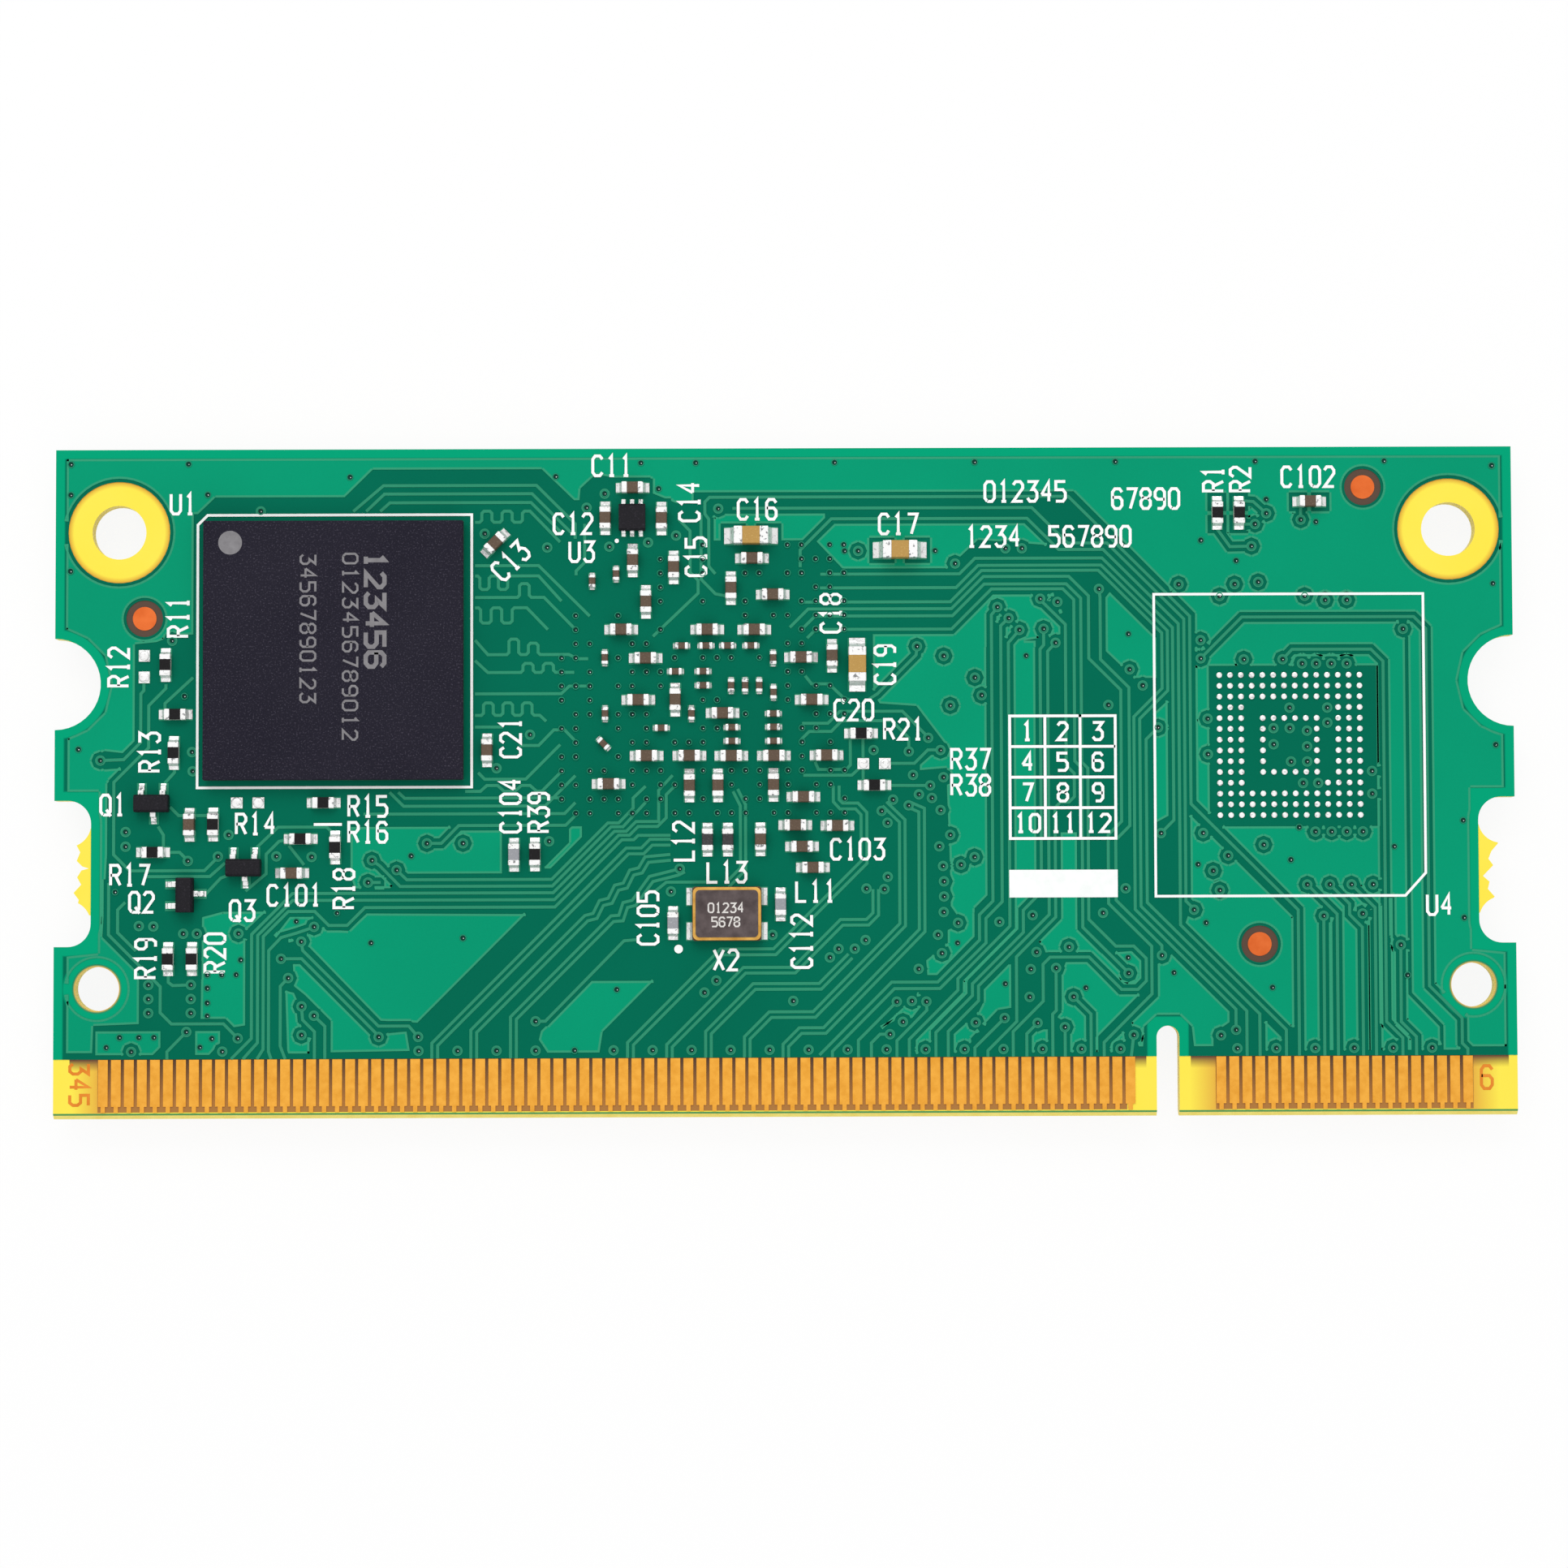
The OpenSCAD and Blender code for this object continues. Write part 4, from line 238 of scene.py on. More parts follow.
def edge_distance(s):
    """Distance in mm from the board's edge, its notches, its lower holes and its key slot."""
    side = abs(s.x)
    plain = (HALF_W - side).low(FAR_Y - s.y)
    latch = s.reach(HALF_W, latch_y, mirrored=True) - LATCH_R
    tab = (TAB_SLOT_X - side).high(abs(s.y - TAB_SLOT_Y) - TAB_SLOT_HALF)
    peg = s.reach(*right_hole("lower_holes"), mirrored=True) - PEG_RIM_R
    key = (abs(s.x - KEY_X) - KEY_HALF).high(s.y - KEY_TOP)
    return plain.low(latch).low(tab).low(peg).low(key)


print("board", round(2 * HALF_W, 2), "by", round(FAR_Y - NEAR_Y, 2), "mm, latches at y", round(latch_y, 2))

# %% [markdown]
# ## The green lacquer
# Solder mask is a thin translucent lacquer. Its colour tells what lies below: dark green over bare
# laminate, brighter over a copper area, greyer over a narrow track whose edges catch the light. A layer of
# tinted glass over copper would show that by itself, but it renders slowly and exports badly. So each case
# is a colour of its own, with slow clouds and a fine grain.


# %% Lacquer over laminate, copper areas and tracks
PALER = 1.28
RIM_START = 0.47
RIM_FULL = 0.38


def srgb(r, g, b):
    """A picked 0-255 colour as linear light."""
    steps = [v / 255 for v in (r, g, b)]
    return (*[v / 12.92 if v <= 0.04045 else ((v + 0.055) / 1.055) ** 2.4 for v in steps], 1.0)


def lacquer(name, base, spread, gloss, rim=None):
    """Cloudy, finely grained lacquer, with another colour along the outline where one is given."""
    s = Surface(name)
    cloud = s.noise(90.0, 4.0).ramp(0.35, 0.65)
    weave = s.noise(2600.0, 2.0)
    grain = s.noise(11000.0, 2.0).ramp(0.3, 0.7)
    pale = [min(1.0, c * PALER) for c in base[:3]] + [1.0]
    tone = s.mix(cloud * (spread * 0.7) + grain * (spread * 0.3), base, pale)
    if rim is not None:
        tone = s.mix(edge_distance(s).ramp(RIM_START, RIM_FULL), tone, rim)
    s.shader.inputs["Specular IOR Level"].default_value = gloss
    return s.set(Base_Color=tone, Roughness=0.3 + weave * 0.12, Normal=s.bump(weave, 0.12, 0.02))


def paint(names, mat):
    """Gives CAD nodes one material."""
    for name in names:
        nodes[name].data.materials.clear()
        nodes[name].data.materials.append(mat)


mask_dark = lacquer("mask_over_laminate", srgb(0, 103, 79), 0.5, 0.03, rim=srgb(0, 162, 118))
mask_pour = lacquer("mask_over_pour", srgb(0, 148, 109), 0.4, 0.05)
mask_track = lacquer("mask_over_track", srgb(44, 139, 106), 0.4, 0.1)
paint(("solder_mask_top", "solder_mask_bottom"), mask_dark)
paint(("copper_pours_top", "copper_pours_bottom"), mask_pour)
paint(("copper_top", "copper_bottom"), mask_track)
print("lacquers", [mat.name for mat in (mask_dark, mask_pour, mask_track)])

# %% [markdown]
# ### Painted highlights along the copper areas
# The raised edge of a copper area catches the light, so a thin paler line just inside its outline is
# painted as a highlight. The outline has too many bends for a formula, but the CAD solid holds it: an edge
# that only one upward triangle uses lies on the rim. Each such edge gets a narrow strip.


# %% Painted highlights along the copper areas
WELD = 0.002 * MM
SHORTEST_EDGE = 0.03 * MM
STRIP_W = 0.1 * MM
STRIP_LIFT = 0.001 * MM
STRIP_STEP = 0.0005 * MM
STRIP_LEVELS = 5


def corner_keys(mesh):
    """Each vertex's place on a fine grid, so that loose triangles find their neighbours."""
    return [tuple(round(c / WELD) for c in v.co) for v in mesh.vertices]


def rim_strips(mesh):
    """Quads inside the rim of the upward faces, at a few levels so that corners may overlap."""
    keys = corner_keys(mesh)
    ways = {}
    for face in mesh.polygons:
        if face.normal.z > 0.9:
            ring = list(face.vertices)
            for a, b in zip(ring, ring[1:] + ring[:1]):
                ways[(keys[a], keys[b])] = (mesh.vertices[a].co.copy(), mesh.vertices[b].co.copy())
    verts = []
    faces = []
    for (key_a, key_b), (a, b) in ways.items():
        if (key_b, key_a) in ways or (b - a).length < SHORTEST_EDGE:
            continue
        inward = Vector((a.y - b.y, b.x - a.x, 0)).normalized() * STRIP_W
        up = Vector((0, 0, STRIP_LIFT + len(faces) % STRIP_LEVELS * STRIP_STEP))
        first = len(verts)
        verts += [a + up, b + up, b + inward + up, a + inward + up]
        faces.append(tuple(range(first, first + 4)))
    return verts, faces


def piece_from(name, verts, faces, mat):
    """A new piece of the module from corners and faces."""
    mesh = bpy.data.meshes.new(name)
    mesh.from_pydata(verts, [], faces)
    mesh.materials.append(mat)
    made = bpy.data.objects.new(name, mesh)
    bpy.context.scene.collection.objects.link(made)
    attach(made, "root")
    return made


# Painted highlight: paler lacquer on narrow strips along each copper area's edge, where the raised copper
# catches the light.
edge_highlight_lacquer = lacquer("mask_over_rim", srgb(48, 150, 113), 0.5, 0.1)
strip_verts, strip_faces = rim_strips(nodes["copper_pours_top"].data)
pour_edge_highlights = piece_from("pour_rims_top", strip_verts, strip_faces, edge_highlight_lacquer)
print("rim strips", len(pour_edge_highlights.data.polygons))

# %% [markdown]
# ## Bare laminate
# Where the lacquer stops, woven glass in yellow epoxy shows: round the mounting holes, at the corners of
# the contact edge and where the panel's tabs were snapped off. The sawn edges are paler and rougher than
# the faces. Faces could be sorted into several materials, but the solid's triangles don't end where a
# colour ends. So one material holds it all, and masks made from the position choose the tone.


# %% The middle of each repeated solid
def solids_of(mesh):
    """The corners of each separate solid, as places on the weld grid."""
    keys = corner_keys(mesh)
    parent = {key: key for key in keys}

    def head(key):
        while parent[key] != key:
            parent[key] = parent[parent[key]]
            key = parent[key]
        return key

    for face in mesh.polygons:
        heads = [head(keys[i]) for i in face.vertices]
        for other in heads[1:]:
            parent[head(other)] = head(heads[0])
    groups = {}
    for key in set(keys):
        groups.setdefault(head(key), []).append(key)
    return groups.values()


def middles(name):
    """The middle of each separate solid of a CAD node, at the height of its top."""
    found = []
    for group in solids_of(nodes[name].data):
        low = [min(axis) * WELD for axis in zip(*group)]
        high = [max(axis) * WELD for axis in zip(*group)]
        found.append(((low[0] + high[0]) / 2, (low[1] + high[1]) / 2, high[2]))
    return sorted(found)


def span(name, axis):
    """The lowest and the highest place of a CAD node along an axis, in mm."""
    places = [v.co[axis] / MM for v in nodes[name].data.vertices]
    return min(places), max(places)


marks = [(x / MM, y / MM) for x, y, z in middles("alignment_marks")]
print("alignment marks", [(round(x, 2), round(y, 2)) for x, y in marks])

# %% Flat faces of the laminate
FACE_INSET = 0.005
FACE_BLEND = 0.015
face_under, face_top = span("laminate", 2)
board = Surface("bare_laminate")
fibre = board.noise(1800.0, 2.0)
patch = board.noise(120.0, 3.0)
over = board.z.ramp(face_top - FACE_INSET - FACE_BLEND, face_top - FACE_INSET)
under = board.z.ramp(face_under + FACE_INSET + FACE_BLEND, face_under + FACE_INSET)
flat = over + under
print("laminate from z", round(face_under, 3), "to", round(face_top, 3), "mm")

# %% [markdown]
# ### Tones of the laminate
# The yellow turns amber towards the lacquer round the holes, and brown at the contact edge where the inner
# copper ends below it. Between the fingers it is dark near the lacquer, since copper walls shade the
# narrow gaps, and lighter towards the edge. Each tone is mixed over the one before, from broad to fine.

# %% Yellow and amber
HOLE_LAND_R = 2.36
FINGER_GROUPS = [(-31.75, 15.75), (19.85, 31.75)]
WARM_REACH = 1.2
lacquer_edge = span("solder_mask_top", 1)[0]
tone = board.mix(patch.ramp(0.3, 0.7), srgb(255, 229, 53), srgb(252, 234, 74))
from_hole = board.reach(*right_hole("upper_holes"), mirrored=True)
at_hole = from_hole.ramp(HOLE_LAND_R - 0.26, HOLE_LAND_R) * (from_hole < HOLE_LAND_R + 0.14)
tone = board.mix(at_hole, tone, srgb(220, 157, 25))
group_ends = (FINGER_GROUPS[0][0], *FINGER_GROUPS[1])
warm = sum(abs(board.x - end).ramp(WARM_REACH, 0.0) for end in group_ends)
tone = board.mix(warm * (board.y < lacquer_edge + 0.05) * 0.7, tone, srgb(222, 146, 38))
print("lacquer ends at y", round(lacquer_edge, 2), "mm")

# %% Brown over the ends of the planes, and rims of the lower holes
PLANES = [(-33.05, 16.65), (18.7, 33.4)]
plane = sum(board.x.within(*ends) for ends in PLANES)
plane_end = board.y.ramp(lacquer_edge - 0.55, lacquer_edge - 0.05) * (board.y < lacquer_edge + 0.75)
tone = board.mix(plane * plane_end, tone, srgb(109, 67, 28))
from_peg = board.reach(*right_hole("lower_holes"), mirrored=True)
greener = from_peg.ramp(PEG_RIM_R - 0.12, PEG_RIM_R - 0.05)
peg_rim = board.mix(greener, srgb(229, 176, 65), srgb(30, 143, 97))
tone = board.mix(from_peg < PEG_RIM_R + 0.15, tone, peg_rim)
print("planes end at x", PLANES)

# %% Sawn edges, the line at the edge, finger gaps and rings round the marks
MARK_GAP_R = 1.0
LINE_START = 0.17
LINE_END = 0.26
LINE_FOOT = 1.9
finger_end = span("contact_fingers_top", 1)[0]
sawn = board.mix(fibre, srgb(241, 213, 83), srgb(255, 243, 136))
tone = board.mix(flat.low(1.0), sawn, tone)
green_line = board.y.within(NEAR_Y + LINE_START, NEAR_Y + LINE_END) * (board.z > LINE_FOOT)
tone = board.mix(green_line, tone, srgb(74, 157, 79))
groups = sum(board.x.within(*ends) for ends in FINGER_GROUPS)
gaps = board.y.within(finger_end, lacquer_edge) * groups * flat
gap_tone = board.mix(board.y.ramp(lacquer_edge, lacquer_edge - 2.0), srgb(67, 38, 11), srgb(171, 113, 39))
tone = board.mix(gaps, tone, gap_tone)
ringed = sum(board.reach(*mark) < MARK_GAP_R for mark in marks)
tone = board.mix(ringed * flat, tone, srgb(80, 54, 36))
board.set(Base_Color=tone, Roughness=0.45 + fibre * 0.2, Normal=board.bump(fibre, 0.25, 0.04))
paint(("laminate",), board.mat)
print("laminate's shader nodes", len(board.tree.nodes))

# %% [markdown]
# ## Gold, copper and tin
# Bare metal needs little colour of its own: what it mirrors does the rest. Polished metal would look like
# a toy here, so a fine noise varies tint, gloss and height together, and plated faces shimmer as they do
# under a loupe. Tin is rough from its bath, so it takes a share of plain white, and a few dark specks on it
# are painted reflections of dark surroundings.


# %% Metals
def metal(name, tint, dark, scale, rough, dent=0.15, pure=1.0, specks=0.0):
    """Grained metal between two tints; specks is how strongly dark specks, painted reflections, show."""
    s = Surface(name)
    grain = s.noise(scale, 4.0)
    tone = s.mix(grain.ramp(0.35, 0.7), tint, dark)
    # Painted reflection: dark specks stand in for dark surroundings mirrored in the tin.
    if specks > 0:
        tone = s.mix(s.noise(scale * 1.4, 2.0).ramp(0.58, 0.66) * specks, tone, srgb(66, 68, 72))
    s.shader.inputs["Metallic"].default_value = pure
    return s.set(Base_Color=tone, Roughness=rough + grain * 0.16, Normal=s.bump(grain, dent, 0.04))


gold = metal("contact_gold", srgb(250, 181, 73), srgb(234, 163, 58), 2600.0, 0.34)
copper = metal("alignment_copper", srgb(234, 120, 61), srgb(216, 101, 45), 900.0, 0.42)
seal_gold = metal("seal_ring_gold", srgb(236, 185, 96), srgb(198, 144, 63), 1500.0, 0.28)
lid_grey = metal("crystal_lid", srgb(106, 95, 95), srgb(79, 70, 70), 1700.0, 0.36)
tin = metal("tinned_ends", srgb(255, 255, 255), srgb(251, 250, 248), 4200.0, 0.1, 0.6, 0.45, 0.8)
solder = metal("solder", srgb(255, 255, 255), srgb(246, 245, 243), 4600.0, 0.06, 0.6, 0.45, 0.4)
tinned = [name for name in nodes if name.endswith(("_ends", "_leads", "_terminals", "_pads"))]
joints = ["solder_joints_top", "solder_joints_bottom", "bare_lands"]
paint(("contact_fingers_top", "contact_fingers_bottom"), gold)
paint(("alignment_marks",), copper)
paint(("crystal_seal_ring",), seal_gold)
paint(("crystal_lid",), lid_grey)
paint(tinned, tin)
paint([*joints, "memory_balls", "processor_balls", "storage_lands"], solder)
print("tinned nodes", len(tinned))

# %% [markdown]
# ## Chips and small parts
# Moulded chips are filled resin: nearly black, with pale specks of filler and a matt skin. Fired capacitors
# are brown or tan with a slight sheen, and resistor coats are black glass. Each could have a recipe of its
# own, but all of them are speckled at some scale. So one function makes them, and only numbers differ.


# %% Resin and ceramics
def speckled(name, base, fleck, amount, rough, gloss=0.35):
    """A matt body with pale specks."""
    s = Surface(name)
    fine = s.noise(13000.0, 2.0, 0.7)
    broad = s.noise(260.0, 3.0)
    tone = s.mix(fine.ramp(0.56, 0.72) * amount + broad * 0.08, base, fleck)
    s.shader.inputs["Specular IOR Level"].default_value = gloss
    return s.set(Base_Color=tone, Roughness=rough + fine * 0.12, Normal=s.bump(fine, 0.3, 0.03))


resin = speckled("moulded_resin", srgb(26, 24, 37), srgb(98, 93, 108), 0.55, 0.6, 0.1)
small_resin = speckled("small_moulded_resin", srgb(16, 14, 21), srgb(69, 65, 74), 0.4, 0.5, 0.2)
carrier = speckled("carrier_board", srgb(14, 99, 65), srgb(72, 153, 106), 0.4, 0.4)
brown = speckled("brown_dielectric", srgb(89, 70, 54), srgb(138, 120, 103), 0.5, 0.4)
tan = speckled("tan_dielectric", srgb(183, 142, 70), srgb(226, 190, 118), 0.45, 0.34)
pale_grey = speckled("pale_dielectric", srgb(148, 150, 155), srgb(206, 206, 211), 0.5, 0.4)
ferrite = speckled("ferrite", srgb(48, 46, 48), srgb(113, 109, 109), 0.5, 0.45)
alumina = speckled("alumina", srgb(226, 224, 216), srgb(250, 248, 244), 0.5, 0.5)
black_glass = speckled("glass_overcoat", srgb(11, 9, 11), srgb(48, 46, 51), 0.35, 0.35, 0.2)
crystal_brown = speckled("crystal_base", srgb(83, 55, 39), srgb(141, 106, 76), 0.4, 0.45)
# Painted shade: the plugs' dark green, darker than the lacquer round them, stands in for the shade in each
# tented hole.
plug_painted_shade = speckled("via_plug", srgb(0, 51, 42), srgb(25, 99, 79), 0.4, 0.3, 0.1)
paint(("memory_mould", "processor_mould", "converter_bodies", "linear_regulator_bodies"), resin)
paint(("tiny_regulator_body", "transistor_bodies"), small_resin)
paint(("memory_carrier", "processor_carrier"), carrier)
paint(("medium_capacitor_bodies", "small_capacitor_bodies", "under_capacitor_bodies"), brown)
paint(("large_capacitor_bodies", "bulk_capacitor_bodies"), tan)
paint(("pale_capacitor_bodies",), pale_grey)
paint(("bead_bodies", "coil_bodies"), ferrite)
paint(("resistor_bodies", "under_resistor_bodies"), alumina)
paint(("resistor_coats", "under_resistor_coats"), black_glass)
paint(("crystal_base",), crystal_brown)
paint(("via_plugs_top", "via_plugs_bottom"), plug_painted_shade)
print("materials so far", len(bpy.data.materials))

# %% [markdown]
# ### Soft edges
# Molten tin pulls itself smooth and moulds have rounded corners. The CAD edges are sharp, and rounding
# them there would multiply its faces, so a bevel does it here. A CAD node comes as loose triangles and a
# bevel needs joined faces, so a weld goes first.


# %% Weld and bevel
TIN_EDGE = 0.03
JOINT_EDGE = 0.035
MOULD_EDGE = 0.05
moulded = ["memory_mould", "processor_mould", "transistor_bodies", "crystal_lid", "crystal_seal_ring"]


def soften(name, width_mm):
    """Rounds a CAD node's sharp edges without touching its mesh."""
    piece = nodes[name]
    weld = piece.modifiers.new("weld", "WELD")
    weld.merge_threshold = WELD
    bevel = piece.modifiers.new("soft edge", "BEVEL")
    bevel.width = width_mm * MM
    bevel.segments = 2
    bevel.limit_method = "ANGLE"
    bevel.angle_limit = math.radians(25)


for names, width_mm in ((tinned, TIN_EDGE), (joints, JOINT_EDGE), (moulded, MOULD_EDGE)):
    for name in names:
        soften(name, width_mm)
print("bevels on", len([piece for piece in nodes.values() if piece.modifiers]), "nodes")

# %% [markdown]
# ## White ink
# The print is screened on last and is only a few hundredths of a millimetre thick. A text object would
# bring a typeface, while a reference on a board is drawn with a round pen. So each sign is a few strokes
# on a small grid, and each stroke is a flat mitred ribbon. A ribbon lies a hair above the one before,
# because two faces at the same height flicker where they cross.

# %% Strokes of each sign on a grid four wide and six high
GRID_W = 4
GRID_H = 6
STROKES = {
    "0": [[(1, 0), (0, 1), (0, 5), (1, 6), (3, 6), (4, 5), (4, 1), (3, 0), (1, 0)]],
    "1": [[(1, 5), (2, 6), (2, 0)], [(1, 0), (3, 0)]],
    "2": [[(0, 5), (1, 6), (3, 6), (4, 5), (4, 4), (0, 0), (4, 0)]],
    "3": [[(0, 6), (4, 6), (2, 3.6), (3, 3.6), (4, 2.6), (4, 1), (3, 0), (1, 0), (0, 1)]],
    "4": [[(3, 0), (3, 6), (0, 2)], [(0, 2), (4, 2)]],
    "5": [[(4, 6), (0, 6), (0, 3.5), (3, 3.5), (4, 2.5), (4, 1), (3, 0), (0, 0)]],
    "6": [[(4, 5), (3, 6), (1, 6), (0, 5), (0, 1), (1, 0), (3, 0), (4, 1), (4, 2.5), (3, 3.4), (0, 3.4)]],
    "7": [[(0, 6), (4, 6), (1.5, 0)]],
    "8": [[(1, 3.2), (0, 4.2), (0, 5), (1, 6), (3, 6), (4, 5), (4, 4.2), (3, 3.2), (1, 3.2), (0, 2.2),
           (0, 1), (1, 0), (3, 0), (4, 1), (4, 2.2), (3, 3.2)]],
    "9": [[(4, 2.8), (1, 2.8), (0, 3.6), (0, 5), (1, 6), (3, 6), (4, 5), (4, 1), (3, 0), (1, 0)]],
    "C": [[(4, 5), (3, 6), (1, 6), (0, 5), (0, 1), (1, 0), (3, 0), (4, 1)]],
    "R": [[(0, 0), (0, 6), (3, 6), (4, 5), (4, 4), (3, 3), (0, 3)], [(2, 3), (4, 0)]],
    "L": [[(0, 6), (0, 0), (4, 0)]],
    "Q": [[(1, 0), (0, 1), (0, 5), (1, 6), (3, 6), (4, 5), (4, 1), (3, 0), (1, 0)],
          [(2.4, 1.6), (4.2, -0.4)]],
    "U": [[(0, 6), (0, 1), (1, 0), (3, 0), (4, 1), (4, 6)]],
    "X": [[(0, 6), (4, 0)], [(4, 6), (0, 0)]],
}
print("signs", len(STROKES))


# %% Ribbons, dots and signs
class Ink:
    """Flat bands in mm above one height, gathered into one piece."""

    LEVELS = 7
    LEVEL_STEP = 0.0006
    SHARPEST = 0.4

    def __init__(self, height):
        self.height = height
        self.verts = []
        self.faces = []

    def corner(self, x, y, z):
        self.verts.append((x * MM, y * MM, z * MM))

    def ribbon(self, points, width, closed=False):
        """A mitred band of that width along points."""
        pts = [Vector(p) for p in points]
        count = len(pts)
        first = len(self.verts)
        level = self.height + len(self.faces) % self.LEVELS * self.LEVEL_STEP
        for i, p in enumerate(pts):
            ways = []
            if closed or i > 0:
                ways.append((p - pts[i - 1]).normalized())
            if closed or i < count - 1:
                ways.append((pts[(i + 1) % count] - p).normalized())
            way = sum(ways, Vector((0, 0))).normalized()
            side = Vector((-way.y, way.x)) * width / 2
            if len(ways) == 2:
                side /= max(self.SHARPEST, way.dot(ways[0]))
            self.corner(p.x + side.x, p.y + side.y, level)
            self.corner(p.x - side.x, p.y - side.y, level)
        for i in range(count if closed else count - 1):
            here = first + 2 * i
            there = first + 2 * ((i + 1) % count)
            self.faces.append((here, here + 1, there + 1, there))

    def disc(self, x, y, radius, sides=20):
        first = len(self.verts)
        for k in range(sides):
            turn = 2 * math.pi * k / sides
            self.corner(x + radius * math.cos(turn), y + radius * math.sin(turn), self.height)
        self.faces.append(tuple(range(first, first + sides)))

    def write(self, text, x, y, turn, height=0.92, pen=0.135, advance=0.66, pace=0.44):
        """Signs of that height centred on x, y, turned by degrees; pace is the width of a sign."""
        cosine = math.cos(math.radians(turn))
        sine = math.sin(math.radians(turn))
        width = (len(text) - 1) * advance + pace
        for k, sign in enumerate(text):
            for stroke in STROKES[sign]:
                run = []
                for grid_x, grid_y in stroke:
                    u = k * advance + grid_x / GRID_W * pace - width / 2
                    v = grid_y / GRID_H * height - height / 2
                    run.append((x + u * cosine - v * sine, y + u * sine + v * cosine))
                self.ribbon(run, pen)

    def piece(self, name, mat, slot):
        return piece_from(name, self.verts, self.faces, mat)


print("ink has", Ink.LEVELS, "levels,", Ink.LEVEL_STEP, "mm apart")

# %% [markdown]
# ### Frames and references
# Frames show where a chip goes, a dot marks a part's first contact, and a solid bar takes a stamp. Each
# part has a short reference beside it: a letter for its kind and a plain number. They stand where there is
# room beside the part, so their places are listed one by one.

# %% Frames
INK_LIFT = 0.014
FRAME_PEN = 0.12
LINE_PEN = 0.13
MEMORY_FRAME = [(-26.75, 12.44), (-14.5, 12.44), (-14.5, -0.22), (-27.2, -0.22), (-27.2, 11.99)]
STORAGE_FRAME = [(17.14, 8.64), (29.64, 8.64), (29.64, -4.32), (28.69, -5.37), (17.14, -5.37)]
SHORT_LINE = [(-21.8, -1.93), (-20.5, -1.93)]
CRYSTAL_DOT = (-4.94, -7.74, 0.2)
REGULATOR_DOT = (-7.77, 11.2, 0.1)
BAR_LEFT = 10.36
BAR_RIGHT = 15.38
BAR_Y = -4.77
BAR_H = 1.28
ink = Ink(span("copper_top", 2)[1] + INK_LIFT)
ink.ribbon(MEMORY_FRAME, FRAME_PEN, closed=True)
ink.ribbon(STORAGE_FRAME, FRAME_PEN, closed=True)
ink.ribbon([(BAR_LEFT, BAR_Y), (BAR_RIGHT, BAR_Y)], BAR_H)
ink.ribbon(SHORT_LINE, LINE_PEN)
ink.disc(*CRYSTAL_DOT)
ink.disc(*REGULATOR_DOT)
print("ink at z", round(ink.height, 3), "mm with", len(ink.faces), "faces")

# %% References with their places in mm and turns in degrees
REFERENCES = [
    ("U1", -27.9, 12.97, 0), ("R11", -28.1, 7.7, 90), ("R12", -30.85, 5.4, 90), ("R13", -29.4, 1.45, 90),
    ("Q1", -31.1, -1.0, 0), ("R14", -24.5, -1.9, 0), ("R15", -19.3, -1.1, 0), ("R16", -19.3, -2.3, 0),
    ("R17", -30.3, -4.25, 0), ("Q2", -29.75, -5.5, 0), ("Q3", -25.1, -5.9, 0), ("C101", -22.7, -5.2, 0),
    ("R18", -20.4, -4.9, 90), ("R19", -29.55, -8.1, 90), ("R20", -26.35, -7.85, 90), ("C11", -8.0, 14.7, 0),
    ("C12", -9.8, 12.0, 0), ("U3", -9.4, 10.7, 0), ("C13", -12.7, 10.27, 45), ("C14", -4.4, 13.0, 90),
    ("C15", -4.1, 10.45, 90), ("C16", -1.25, 12.65, 0), ("C17", 5.3, 11.95, 0), ("C18", 2.15, 7.8, 90),
    ("C19", 4.65, 5.4, 90), ("R1", 19.95, 14.0, 90), ("R2", 21.2, 14.0, 90), ("C102", 24.35, 14.1, 0),
    ("C20", 3.2, 3.3, 0), ("R21", 5.5, 2.4, 0), ("R37", 8.6, 1.0, 0), ("R38", 8.6, -0.2, 0),
    ("C103", 3.35, -3.15, 0), ("L11", 1.4, -5.1, 0), ("L12", -4.7, -2.75, 90), ("L13", -2.7, -4.2, 0),
    ("C21", -12.7, 2.05, 90), ("C104", -12.7, -1.1, 90), ("R39", -11.4, -1.4, 90),
    ("C105", -6.35, -6.3, 90), ("X2", -2.75, -8.25, 0), ("C112", 0.75, -7.4, 90), ("U4", 30.25, -5.8, 0),
    ("012345", 11.2, 13.45, 0), ("67890", 16.8, 13.1, 0), ("1234", 9.7, 11.35, 0),
    ("567890", 14.2, 11.35, 0),
]
for reference in REFERENCES:
    ink.write(*reference)
print("references", len(REFERENCES), "ink faces", len(ink.faces))

# %% [markdown]
# ### A table for the month
# Above the stamp bar stands a small table of the numbers one to twelve, where a month can be ticked. Its
# lines are ribbons too, and a loop sets each number in the middle of its cell, so the table follows its
# cells' size.

# %% Table
TABLE_LEFT = BAR_LEFT + 0.06
TABLE_TOP = 3.0
CELL_W = 1.63
CELL_H = 1.42
COLUMNS = 3
ROWS = 4
MONTH_H = 0.8
table_right = TABLE_LEFT + COLUMNS * CELL_W
table_foot = TABLE_TOP - ROWS * CELL_H
for row in range(ROWS + 1):
    line_y = TABLE_TOP - row * CELL_H
    ink.ribbon([(TABLE_LEFT, line_y), (table_right, line_y)], LINE_PEN)
for column in range(COLUMNS + 1):
    line_x = TABLE_LEFT + column * CELL_W
    ink.ribbon([(line_x, TABLE_TOP + LINE_PEN / 2), (line_x, table_foot - LINE_PEN / 2)], LINE_PEN)
for month in range(ROWS * COLUMNS):
    cell_x = TABLE_LEFT + (month % COLUMNS + 0.5) * CELL_W
    cell_y = TABLE_TOP - (month // COLUMNS + 0.5) * CELL_H
    ink.write(str(month + 1), cell_x, cell_y, 0, height=MONTH_H)
